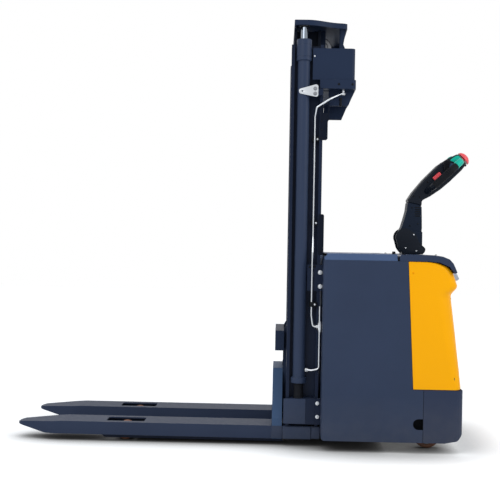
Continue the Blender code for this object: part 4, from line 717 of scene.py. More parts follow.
    def dress(self, finish: Finish, body: Optional[str], replaces: Sequence[str] = (),
              angle: float = 35.0) -> bpy.types.Object:
        """Make the piece, give it its finish and let it ride on a body.

        Args:
            finish: Its finish.
            body: The body that carries it, or None where two bodies stretch it.
            replaces: Frame nodes that it stands for.
            angle: Edges sharper than this stay sharp, in degrees.

        Returns:
            The piece.
        """
        bmesh.ops.remove_doubles(self.mesh, verts=self.mesh.verts, dist=0.000005)
        bmesh.ops.recalc_face_normals(self.mesh, faces=self.mesh.faces)
        data = bpy.data.meshes.new(self.name)
        self.mesh.to_mesh(data)
        self.mesh.free()
        data.transform(Matrix.Translation((SHIFT, 0.0, 0.0)))
        data.shade_smooth()
        data.set_sharp_from_angle(angle=math.radians(angle))
        piece = bpy.data.objects.new(self.name, data)
        bpy.context.scene.collection.objects.link(piece)
        data.materials.append(finish.material())
        if body:
            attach(piece, body)
        if replaces:
            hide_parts(*replaces)
        return piece


def paint(finish: Finish, *nodes: str) -> None:
    """Give frame nodes their finish.

    Args:
        finish: The finish.
        nodes: Names of the nodes.

    Returns:
        Nothing.
    """
    for name in nodes:
        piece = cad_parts[name]
        if not piece.material_slots:
            piece.data.materials.append(None)
        for slot in piece.material_slots:
            slot.material = finish.material()

def turned(name: str, finish: Finish, body: str, at: Place, profile: Sequence[Flat],
           steps: int = 40, facing: object = Facing.UP, replaces: Sequence[str] = ()) -> None:
    """Make one turned piece."""
    Shape(name).at(at, facing).lathe(profile, steps).dress(finish, body, replaces)


def mirrored(profile: Sequence[Flat]) -> List[Flat]:
    """The lower half of a profile whose upper half is given."""
    return [(radius, -height) for radius, height in profile[::-1]]


def round_places(centre: Flat, radius: float, count: int) -> List[Flat]:
    """Places spread evenly on a circle."""
    return arc(centre, radius, 0.0, 360.0, count)[:-1]


def both(name: str) -> List[str]:
    """The left and the right node of a pair."""
    return [name + NAMES[side] for side in SIDES]


# ---------------------------------------------------------------- forks and wheels
@dataclass
class Forks:
    """Fork blades, their back plate and the carriage."""

    middle: float = 0.2015
    half: float = 0.082
    low: float = 0.031
    top: float = 0.086
    face_x: float = -0.0015
    cheek_y: float = 0.141
    anchor_at: Place = (0.139, 0.095, 0.360)
    pin_x: float = 0.131

    def build(self) -> None:
        """Paint the blades and add shoes, welds, nuts and discs.

        Returns:
            Nothing.
        """
        paint(Finishes.FORK, "fork_left", "fork_right")
        # The back plate takes the lighter copy of the slate paint: painted sky light on it.
        paint(Finishes.HEEL_SKYLIT, "fork_back_plate")
        # The carriage frame takes the darker copy of the slate paint: painted shade.
        paint(Finishes.CAP_SHADED, "carriage_frame")
        shoes = Shape("heel_shoes")
        for side in SIDES:
            shoes.beside(side, (0.0004, 0.0480), (0.2830, 0.2848), (0.0312, self.top), 0.0004)
        shoes.dress(Finishes.SLATE, "carriage")
        self.welds()
        self.fixings()

    def welds(self) -> None:
        """Weld beads where blades, plate and cheeks meet.

        Returns:
            Nothing.
        """
        x, cheek = self.face_x, self.cheek_y
        near, far = self.middle - self.half, self.middle + self.half
        welds = Shape("fork_welds").beads((
            ((x, near + 0.004, self.top), (x, far - 0.004, self.top), 0.003),
            ((x, near + 0.001, self.low), (x, near + 0.001, self.top), 0.0022),
            ((x, far - 0.001, self.low), (x, far - 0.001, self.top), 0.0022),
            ((0.0487, cheek, 0.412), (0.0487, cheek, 0.499), 0.0028),
            ((0.0465, cheek, 0.130), (0.0465, cheek, 0.322), 0.0026)))
        welds.dress(Finishes.SLATE, "carriage")

    def fixings(self) -> None:
        """Nuts on the chain anchors and discs on the roller pins.

        Returns:
            Nothing.
        """
        x, y, z = self.anchor_at
        nuts = Shape("chain_end_nuts")
        discs = Shape("carriage_pin_discs")
        for side in SIDES:
            nuts.at((x, side * y, z), Facing.DOWN).lathe(
                [(0.0, 0.0), (0.006, 0.0), (0.006, 0.028), (0.005, 0.030), (0.0, 0.030)], 20)
            for down, height in ((0.0002, 0.009), (0.0100, 0.006)):
                nuts.at((x, side * y, z - down), Facing.DOWN).nut(0.019, height)
            for height in (0.185, 0.470):
                discs.at((self.pin_x, side * 0.1295, height), outwards(-side)).lathe(
                    [(0.0, 0.0), (0.017, 0.0), (0.017, 0.003), (0.014, 0.0045), (0.0, 0.0045)])
                discs.at((self.pin_x, side * 0.125, height), outwards(-side)).nut(0.013, 0.006)
        nuts.dress(Finishes.STEEL, "carriage")
        discs.dress(Finishes.BLACK_STEEL, "carriage")


@dataclass
class RunningGear:
    """Straddle legs, load wheels, drive wheel and casters."""

    load_at: Place = (-0.661, 0.2015, 0.039)
    drive_at: Place = (0.640, 0.0, 0.115)
    caster_at: Place = (0.688, 0.255, 0.060)
    caster_pivot: Place = (0.660, 0.255, 0.148)
    motor_radius: float = 0.0755

    def build(self) -> None:
        """Paint the legs and make the wheels.

        Returns:
            Nothing.
        """
        paint(Finishes.MAST, "leg_left", "leg_right", "chassis_frame")
        paint(Finishes.SLATE, "mast_base_beam")
        paint(Finishes.BLACK_STEEL, "drive_unit", *both("caster_fork_"))
        for side in SIDES:
            name = NAMES[side]
            load, caster, pivot = ((x, side * y, z) for x, y, z in
                                   (self.load_at, self.caster_at, self.caster_pivot))
            self.wheel("load_wheel_" + name, load, 0.039, 0.074, 0.0095, 0.024)
            self.wheel("caster_wheel_" + name, caster, 0.060, 0.032, 0.0075, 0.042)
            self.axles(name, load, caster)
            turned("caster_bearing_" + name, Finishes.STEEL, "caster_fork_" + name, pivot,
                   [(0.034, 0.0), (0.036, 0.002), (0.036, 0.008), (0.034, 0.0105), (0.030, 0.0108)])
        self.wheel("drive_wheel", self.drive_at, 0.115, 0.072, 0.0165, 0.078)
        self.drive_details()

    @staticmethod
    def wheel(node: str, at: Place, radius: float, width: float, bore: float,
              rim: float) -> None:
        """A cast tyre with rounded shoulders on a turned hub.

        Args:
            node: The frame node and body it stands for.
            at: Its middle.
            radius: Its outer radius.
            width: Its width.
            bore: Radius of its bore.
            rim: Radius where the tyre meets the hub.

        Returns:
            Nothing.
        """
        half = width / 2
        soft = min(0.006, 0.12 * radius + 0.002)
        tyre = [(radius, 0.0)] + arc((radius - soft, half - soft), soft, 0.0, 90.0, 5)
        tyre += [(rim + 0.003, half), (rim, half - 0.0015)]
        turned(node + "_tyre", Finishes.TYRE, node, at, mirrored(tyre[1:]) + tyre, 64,
               Facing.FAR, [node])
        seat = bore + 0.30 * (rim - bore)
        ring = bore + 0.62 * (rim - bore)
        face = [(bore, half - 0.001), (seat, half - 0.001), (seat + 0.0005, half - 0.003),
                (ring, half - 0.0035), (ring + 0.001, half - 0.001), (rim - 0.001, half - 0.001),
                (rim, half - 0.002)]
        turned(node + "_hub", Finishes.STEEL, node, at, [(bore, -half + 0.001)] + face
               + mirrored(face), 48, Facing.FAR)

    @staticmethod
    def axles(name: str, load: Place, caster: Place) -> None:
        """Washers and rings on a load wheel's axle, and nuts on a caster's.

        Args:
            name: Side's name.
            load: Middle of the load wheel.
            caster: Middle of the caster wheel.

        Returns:
            Nothing.
        """
        rings = Shape("load_axle_ends_" + name)
        nuts = Shape("caster_axle_nuts_" + name)
        for end in SIDES:
            rings.at((load[0], load[1] + end * 0.0522, load[2]), outwards(end)).lathe(
                [(0.0, 0.0), (0.012, 0.0), (0.012, 0.0016), (0.0095, 0.0016), (0.009, 0.003),
                 (0.0, 0.003)], 28)
            nuts.at((caster[0], caster[1] + end * 0.0243, caster[2]), outwards(end))
            nuts.bolt(0.013, 0.006)
        rings.dress(Finishes.ZINC, "chassis")
        nuts.dress(Finishes.ZINC, "caster_fork_" + name)

    def drive_details(self) -> None:
        """Slewing ring bolts, motor bands and gearbox cover of the drive unit.

        Returns:
            Nothing.
        """
        middle, _, axle = self.drive_at
        bolts = Shape("slewing_ring_bolts")
        for x, y in round_places((middle, 0.0), 0.094, 10):
            bolts.at((x, y, 0.3421)).bolt(0.010, 0.005)
        bolts.dress(Finishes.ZINC, "steer")
        bands = Shape("motor_bands").at((middle, 0.0, 0.0))
        shell = self.motor_radius
        for low in (0.365, 0.54):
            bands.lathe([(shell, low), (shell + 0.003, low + 0.002),
                         (shell + 0.003, low + 0.018), (shell, low + 0.020)], 56)
        for index in range(9):
            z = 0.40 + 0.014 * index
            bands.lathe([(shell, z), (shell + 0.0027, z + 0.001),
                         (shell + 0.0027, z + 0.004), (shell, z + 0.005)], 56)
        bands.dress(Finishes.BLACK_STEEL, "steer")
        cover = Shape("gearbox_cover").at((middle, 0.0762, axle), Facing.FAR)
        cover.lathe([(0.0, 0.006), (0.030, 0.006), (0.034, 0.004), (0.052, 0.004), (0.055, 0.0)])
        for x, z in round_places((middle, axle), 0.045, 8):
            cover.at((x, 0.0800, z), Facing.FAR).screw(0.0042)
        cover.dress(Finishes.STEEL, "steer")


# ---------------------------------------------------------------- mast
@dataclass
class Mast:
    """Rails, cap, ties, rollers, sheaves and chains."""

    axis_x: float = 0.131
    sheave_at: Place = (0.190, 0.095, 1.798)
    chain_radius: float = 0.051
    pitch: float = 0.0159
    front_low: float = 0.371
    rear_low: float = 1.6205
    cap_start: float = 0.130
    cap_reach: float = 0.150
    cap_share: float = 0.52
    cap_inside: float = 0.200
    bore: float = 0.0136
    roller_half: float = 0.013

    def build(self) -> None:
        """Paint the steelwork and make what turns and runs.

        Returns:
            Nothing.
        """
        paint(Finishes.MAST, *both("outer_rail_"), "mast_bracket")
        # The inner rails and lower tie take the darker copy of the mast paint: painted shade.
        paint(Finishes.INNER_SHADED, *both("inner_rail_"), "inner_lower_tie")
        # The top tie takes the darker copy of the slate paint: painted shade.
        paint(Finishes.CAP_SHADED, "outer_top_tie")
        self.cap()
        for side in SIDES:
            name = NAMES[side]
            for node, across, height, radius in (
                    ("outer_roller_", 0.200, 1.705, 0.04675),
                    ("inner_roller_", 0.2355, 0.170, 0.0565),
                    ("carriage_roller_low_", 0.1575, 0.185, 0.04675),
                    ("carriage_roller_high_", 0.1575, 0.470, 0.04675)):
                self.roller(node + name, side * across, height, radius)
            self.sheave(name, side)
            self.chain(name, side)
        self.fixings()
        self.guards()
        self.welds()

    def cap(self) -> None:
        """The cap over the inner rails: its ends narrow in a curve towards the rear.

        Returns:
            Nothing.
        """
        cap = Shape("inner_mast_cap_plate")
        cap.mesh.from_mesh(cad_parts["inner_mast_cap"].data)
        bmesh.ops.translate(cap.mesh, vec=(-SHIFT, 0.0, 0.0), verts=cap.mesh.verts)
        cuts = [((self.cap_start + 0.0115 * i, 0.0, 0.0), (1.0, 0.0, 0.0)) for i in range(16)]
        cuts += [((0.0, side * self.cap_inside, 0.0), (0.0, 1.0, 0.0)) for side in SIDES]
        for point, normal in cuts:
            geom = [*cap.mesh.verts, *cap.mesh.edges, *cap.mesh.faces]
            bmesh.ops.bisect_plane(cap.mesh, geom=geom, plane_co=point, plane_no=normal)
        for vert in cap.mesh.verts:
            out = abs(vert.co.y) - self.cap_inside
            if out > 0.0:
                t = min(1.0, max(0.0, (vert.co.x - self.cap_start) / self.cap_reach))
                kept = 1.0 - self.cap_share * t * t * (3.0 - 2.0 * t)
                vert.co.y = math.copysign(self.cap_inside + out * kept, vert.co.y)
        # The cap takes the darker copy of the slate paint: painted shade.
        cap.dress(Finishes.CAP_SHADED, "inner_mast", ["inner_mast_cap"], 30.0)

    def roller(self, node: str, across: float, height: float, radius: float) -> None:
        """A bearing roller with a crowned rim, a seal and a groove.

        Args:
            node: Frame node and body.
            across: Its place across the machine.
            height: Its height.
            radius: Its radius.

        Returns:
            Nothing.
        """
        bore, half = self.bore, self.roller_half
        seal = bore + 0.38 * (radius - bore)
        face = [(bore, half - 0.001), (bore + 0.001, half), (seal - 0.003, half),
                (seal - 0.002, half - 0.0022), (seal + 0.008, half - 0.0022), (seal + 0.009, half),
                (radius - 0.003, half), (radius - 0.0006, half - 0.002), (radius, half - 0.006)]
        turned(node + "_ring", Finishes.STEEL, node, (self.axis_x, across, height),
               [(bore, -half + 0.001)] + face + mirrored(face), 56, Facing.FAR, [node])

    def sheave(self, name: str, side: int) -> None:
        """A chain sheave with flanges, a web whose holes are dark discs of painted shade, and a
        bush.

        Args:
            name: Side's name.
            side: Side's sign.

        Returns:
            Nothing.
        """
        node = "chain_sheave_" + name
        x, y, z = self.sheave_at[0], side * self.sheave_at[1], self.sheave_at[2]
        face = [(0.0106, 0.0125), (0.018, 0.0125), (0.0195, 0.0095), (0.037, 0.0095),
                (0.0395, 0.0128), (0.0515, 0.0128), (0.052, 0.0122), (0.052, 0.0098),
                (0.0505, 0.0092), (0.0447, 0.0078)]
        turned(node + "_wheel", Finishes.STEEL, node, (x, y, z),
               [(0.0106, -0.0125)] + face + mirrored(face), 64, Facing.FAR, [node])
        # The holes are dark discs on the web: painted shade where the openings would be.
        holes = Shape(node + "_hole_shades")
        for hole_x, hole_z in round_places((x, z), 0.028, 6):
            for end in SIDES:
                holes.at((hole_x, y + end * 0.0096, hole_z), outwards(end))
                holes.lathe([(0.0, 0.0), (0.0045, 0.0), (0.0055, 0.0004)], 20)
        holes.dress(Finishes.RUBBER, node)

    def links(self, chain: Shape, points: Sequence[Vector], first: int) -> None:
        """Add leaf links and pins along a line of pin places.

        Args:
            chain: The shape that gets them.
            points: Places of the pins.
            first: Count of the first link, which sets which leaves it has.

        Returns:
            Nothing.
        """
        half = self.pitch / 2
        leaf = arc((half, 0.0), 0.0056, -70.0, 70.0, 5) + [(0.0, 0.0042)]
        leaf += arc((-half, 0.0), 0.0056, 110.0, 250.0, 5) + [(0.0, -0.0042)]
        for index, (start, end) in enumerate(zip(points, points[1:])):
            angle = math.degrees(math.atan2(end.z - start.z, end.x - start.x))
            chain.at(tuple((start + end) / 2), Facing.NEAR, angle)
            for layer in (-0.0058, 0.0, 0.0058) if (first + index) % 2 else (-0.0029, 0.0029):
                self.leaf(chain, leaf, layer - 0.0012, layer + 0.0012)
        for point in points:
            chain.at(tuple(point), Facing.NEAR)
            chain.lathe([(0.0, -0.0070), (0.0026, -0.0070), (0.0026, 0.0070), (0.0, 0.0070)], 8)

    @staticmethod
    def leaf(chain: Shape, outline: Sequence[Flat], low: float, high: float) -> None:
        """Add one leaf of a link.

        Args:
            chain: The shape that gets it.
            outline: Its outline.
            low: Where it starts.
            high: Where it ends.

        Returns:
            Nothing.
        """
        under, over = [[chain.mesh.verts.new(chain.place @ Vector((u, v, z))) for u, v in outline]
                       for z in (low, high)]
        chain.mesh.faces.new(under[::-1])
        chain.mesh.faces.new(over)
        for i, _ in enumerate(outline):
            chain.mesh.faces.new((under[i - 1], under[i], over[i], over[i - 1]))

    def column(self, x: float, y: float, low: float, high: float) -> List[Vector]:
        """Places of the pins in an upright run."""
        count = int((high - low) / self.pitch)
        return [Vector((x, y, low + (high - low) / count * i)) for i in range(count + 1)]

    def chain(self, name: str, side: int) -> None:
        """One leaf chain: a rear run, the turn over the sheave and a front run.

        Args:
            name: Side's name.
            side: Side's sign.

        Returns:
            Nothing.
        """
        node = "lift_chain_" + name
        x, y, z = self.sheave_at[0], side * self.sheave_at[1], self.sheave_at[2]
        front_x, rear_x = x - self.chain_radius, x + self.chain_radius
        run = Shape(node + "_front")
        self.links(run, self.column(front_x, y, self.front_low, z), 0)
        piece = run.dress(Finishes.CHAIN, "inner_mast", [node])
        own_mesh(piece)
        over = Shape(node + "_turn")
        count = round(math.pi * self.chain_radius / self.pitch)
        self.links(over, [Vector((u, y, v)) for u, v in
                          arc((x, z), self.chain_radius, 0.0, 180.0, count)], 1)
        over.dress(Finishes.CHAIN, "inner_mast", [node])
        back = Shape(node + "_rear")
        self.links(back, self.column(rear_x, y, self.rear_low, z), 0)
        piece = back.dress(Finishes.CHAIN, None, [node])
        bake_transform(piece)

    def fixings(self) -> None:
        """Bolts and screws on bracket, ears, tie and cap, and nuts on the chain anchors.

        Returns:
            Nothing.
        """
        bright = Shape("bracket_bolts")
        bright.fasten(0.3054, ((0.2020, 0.7719), (0.2030, 0.7101)), 0.0098, 0.007)
        bright.fasten(0.3157, ((0.1990, 0.1946), (0.1995, 0.1353)), 0.0084, 0.007)
        bright.fasten(0.3054, ((0.1610, 1.7258),), 0.0045)
        bright.dress(Finishes.ZINC, "chassis")
        dark = Shape("mast_bolts")
        dark.fasten(0.3054, ((0.1550, 0.7950), (0.1780, 0.7980)), 0.0045)
        dark.fasten(0.3083, ((0.2700, 1.6030), (0.3300, 1.6030)), 0.0050)
        dark.dress(Finishes.BLACK_STEEL, "chassis")
        caps = Shape("cap_bolts")
        anchors = Shape("chain_anchor_nuts")
        for side in SIDES:
            for x, y, radius in ((0.095, 0.179, 0.007), (0.165, 0.179, 0.007),
                                 (0.115, 0.298, 0.010)):
                caps.at((x, side * y, 1.8790)).lathe(
                    [(0.0, 0.003), (radius - 0.001, 0.003), (radius, 0.002), (radius, -0.001)], 28)
            for z, height in ((1.5900, 0.010), (1.6005, 0.007)):
                anchors.at((0.241, side * 0.095, z)).nut(0.022, height)
        caps.dress(Finishes.BLACK_STEEL, "inner_mast")
        anchors.dress(Finishes.ZINC, "chassis")

    def guards(self) -> None:
        """Guard plates and the pipe guide beside the rear flange, and plates on the feet.

        Returns:
            Nothing.
        """
        window = rounded(rectangle((0.2040, 0.2250), (1.474, 1.519)), 0.004)
        plate = rounded([(0.1900, 1.3560), (0.2180, 1.3560), (0.2242, 1.3627), (0.2242, 1.4380),
                         (0.2297, 1.4480), (0.2297, 1.5235), (0.1900, 1.5235)], 0.003)
        guide = rounded(rectangle((0.1900, 0.2150), (0.849, 1.0295)), 0.009)
        guards = Shape("mast_guards")
        feet = Shape("foot_plates")
        for side in SIDES:
            guards.sheet(side, plate, (0.2995, 0.3025), 0.0006, [window])
            guards.sheet(side, guide, (0.2995, 0.3025), 0.0008)
            feet.beside(side, (0.0500, 0.1470), (0.3161, 0.3174), (0.1030, 0.2135), 0.0004)
            feet.beside(side, (0.1750, 0.2122), (0.2520, 0.2980), (0.0340, 0.0875), 0.0015)
        # The guard plates take the darker copy of the mast paint: painted shade.
        guards.dress(Finishes.INNER_SHADED, "chassis")
        feet.dress(Finishes.SLATE, "chassis")
        screws = Shape("guard_screws").fasten(
            0.3026, ((0.1965, 1.4400), (0.1965, 1.5140), (0.1965, 1.3660), (0.1965, 1.4030),
                     (0.2060, 0.866), (0.2060, 1.014)), 0.0036)
        screws.dress(Finishes.BLACK_STEEL, "chassis")

    @staticmethod
    def welds() -> None:
        """Weld beads round the rails' feet, the cylinder feet, the ties and the cap.

        Returns:
            Nothing.
        """
        foot = Shape("mast_welds").beads((
            ((0.0605, 0.2160, 0.0890), (0.0605, 0.2985, 0.0890), 0.0026),
            ((0.2015, 0.2160, 0.0890), (0.2015, 0.2985, 0.0890), 0.0026),
            ((0.0610, 0.2990, 0.0890), (0.2010, 0.2990, 0.0890), 0.0026),
            ((0.0765, 0.2995, 0.2150), (0.1865, 0.2995, 0.2150), 0.0022),
            ((0.1560, 0.2995, 1.6260), (0.1560, 0.2995, 1.7580), 0.0024),
            ((0.2030, 0.2420, 1.5832), (0.3400, 0.2420, 1.5832), 0.0020)))
        foot.dress(Finishes.MAST, "chassis")
        top = Shape("cap_welds").beads((
            ((0.0725, 0.1460, 1.8590), (0.0725, 0.2130, 1.8590), 0.0022),
            ((0.1900, 0.1460, 1.8590), (0.1900, 0.2130, 1.8590), 0.0022)))
        top.dress(Finishes.MAST, "inner_mast")


# ---------------------------------------------------------------- hydraulics
@dataclass
class Hydraulics:
    """Cylinders, rods, pipes and their holders."""

    x: float = 0.115
    y: float = 0.298
    pipe: float = 0.0045
    tee: Place = (0.203, -0.312, 0.533)
    port: Place = (0.1425, -0.304, 0.340)
    tray_port: Place = (0.291, -0.270, 1.5600)
    strap_y: float = -0.3248

    def build(self) -> None:
        """Make both cylinders and the near side's pipework.

        Returns:
            Nothing.
        """
        for side in SIDES:
            self.cylinder(NAMES[side], side)
        self.pipes()
        self.unions()
        self.strap()
        self.clamps()

    def cylinder(self, name: str, side: int) -> None:
        """A barrel with a grooved gland, its stem and wiper ring, and its rod with a seat.

        Args:
            name: Side's name.
            side: Side's sign.

        Returns:
            Nothing.
        """
        node, rod = "lift_cylinder_" + name, "lift_rod_" + name
        at = (self.x, side * self.y, 0.0)
        turned(node + "_barrel", Finishes.SLATE, "chassis", at, [
            (0.0, 0.2159), (0.0205, 0.2159), (0.0205, 0.2810), (0.0240, 0.2830),
            (0.0335, 0.2830), (0.0340, 0.2845), (0.0340, 0.3050), (0.0325, 0.3068),
            (0.0285, 0.3072), (0.0265, 0.3100), (0.0265, 1.7030), (0.0315, 1.7050),
            (0.0330, 1.7065), (0.0330, 1.7180), (0.0318, 1.7190), (0.0318, 1.7225),
            (0.0330, 1.7235), (0.0330, 1.7700), (0.0322, 1.7708), (0.0322, 1.7738),
            (0.0330, 1.7746), (0.0330, 1.7965), (0.0315, 1.7985), (0.0240, 1.7990),
            (0.0190, 1.7990), (0.0172, 1.7975), (0.0168, 1.7800)], 64, replaces=[node])
        turned(node + "_stem", Finishes.RUBBER, "chassis", at, [
            (0.0206, 0.2162), (0.0225, 0.2162), (0.0225, 0.2230), (0.0206, 0.2240),
            (0.0206, 0.2650), (0.0220, 0.2660), (0.0220, 0.2790), (0.0206, 0.2800)], 48)
        turned(node + "_wiper", Finishes.RUBBER, "chassis", (at[0], at[1], 1.7975), [
            (0.0169, -0.008), (0.0169, 0.0015), (0.0185, 0.0022), (0.0205, 0.0008)], 48)
        turned(rod + "_ground", Finishes.CHROME, "inner_mast", at, [
            (0.0, 0.3505), (0.0150, 0.3505), (0.0160, 0.3520), (0.0160, 1.8745),
            (0.0155, 1.8755), (0.0, 1.8755)], 64, replaces=[rod])
        turned("rod_seat_" + name, Finishes.BLACK_STEEL, "inner_mast", at, [
            (0.0165, 1.8560), (0.0215, 1.8560), (0.0225, 1.8570), (0.0225, 1.8758)], 48)

    def pipes(self) -> None:
        """The feed pipe and the long return pipe.

        Returns:
            Nothing.
        """
        x, y, z = self.tee
        feed = Shape("feed_pipe_line")
        feed.tube(bent([(x, y, z - 0.024), (x, y, 0.346), (0.172, y, 0.340),
                        (0.1475, -0.304, 0.340)], 0.016), self.pipe, 5)
        feed.dress(Finishes.ZINC, "chassis", ["feed_pipe"])
        line = Shape("return_pipe_line")
        line.tube(bent([(x, y, z), (x - 0.030, y, z), (0.1660, y, 0.583), (0.1665, y, 0.860),
                        (0.1680, -0.2880, 0.930), (0.1680, -0.2880, 1.462),
                        (0.174, -0.309, 1.500), (0.230, -0.309, 1.5368),
                        (0.291, -0.270, 1.5708)], 0.014), self.pipe, 5)
        line.tube([(x, y, z + 0.022), (x, y, z + 0.0895)], self.pipe, 5)
        line.dress(Finishes.ZINC, "chassis", ["return_pipe"])

    def unions(self) -> None:
        """The tee with its nuts, the unions at both ports and the fitting under the tray.

        Returns:
            Nothing.
        """
        x, y, z = self.tee
        port_x, port_y, port_z = self.port
        tray_x, tray_y, tray_z = self.tray_port
        unions = Shape("pipe_unions").at((x, y, 0.0))
        unions.box((-0.0068, 0.0068), (-0.0068, 0.0068), (z - 0.015, z + 0.015), 0.0012)
        for at, look, width, height in (
                ((x, y, z - 0.015), Facing.DOWN, 0.0135, 0.0095),
                ((x, y, z + 0.015), Facing.UP, 0.0135, 0.0095),
                ((x - 0.0065, y, z), Facing.FRONT, 0.0135, 0.0105),
                (self.port, Facing.REAR, 0.0150, 0.0085),
                ((port_x + 0.0085, port_y, port_z), Facing.REAR, 0.0130, 0.0060),
                (self.tray_port, Facing.UP, 0.0165, 0.0110)):
            unions.at(at, look).nut(width, height)
        unions.at((tray_x, tray_y, tray_z + 0.0110)).lathe(
            [(0.0, 0.0), (0.0062, 0.0), (0.0062, 0.0125), (0.0, 0.0125)], 20)
        unions.dress(Finishes.ZINC, "chassis")
        turned("tray_fitting", Finishes.RUBBER, "chassis", (0.2805, -0.272, 1.5480), [
            (0.0, 0.0), (0.0062, 0.0), (0.0062, 0.012), (0.0052, 0.013), (0.0052, 0.024),
            (0.0062, 0.025), (0.0062, 0.034), (0.0040, 0.036), (0.0, 0.036)], 24, Facing.DOWN)

    def strap(self) -> None:
        """The plated strap with its spacer and two bolts.

        Returns:
            Nothing.
        """
        outline = arc((0.1060, 1.5676), 0.0120, 108.0, 252.0, 12)
        outline += arc((0.1690, 1.5530), 0.0098, -108.0, 0.0, 8)
        outline += arc((0.1690, 1.5878), 0.0098, 0.0, 108.0, 8)
        hole = arc((0.109, 1.568), 0.0034, 0.0, 342.0, 19)
        block = rounded(rectangle((0.1562, 0.1998), (1.5502, 1.5796)), 0.002)
        for name, finish, shape, low, high, edge, holes in (
                ("cylinder_strap_plate", Finishes.ZINC, outline, 0.0002, 0.0038, 0.0008, [hole]),
                ("strap_spacer", Finishes.MAST, block, -0.0252, 0.0002, 0.0006, [])):
            piece = Shape(name).at((0.0, self.strap_y, 0.0), Facing.NEAR)
            piece.slab(shape, low, high, edge, holes)
            piece.dress(finish, "chassis", ["cylinder_strap"])
        bolts = Shape("strap_bolts")
        for z in (1.5789, 1.5570):
            bolts.at((0.1655, self.strap_y - 0.0038, z), Facing.NEAR).bolt(0.0085, 0.0045)
        bolts.dress(Finishes.STEEL, "chassis")

    @staticmethod
    def clamps() -> None:
        """Moulded clamps that hold the long pipe in the rail.

        Returns:
            Nothing.
        """
        clamps = Shape("pipe_clamps")
        screws = Shape("pipe_clamp_screws")
        for z, face in ((0.6303, -0.3178), (0.990, -0.2905), (1.3615, -0.2905)):
            clamps.at((0.0, 0.0, z)).box((0.1575, 0.1905), (face, -0.2625), (-0.011, 0.011), 0.002)
            screws.at((0.1810, face + 0.0002, z), Facing.NEAR).screw(0.0052)
        clamps.dress(Finishes.RUBBER, "chassis")
        screws.dress(Finishes.ZINC, "chassis")


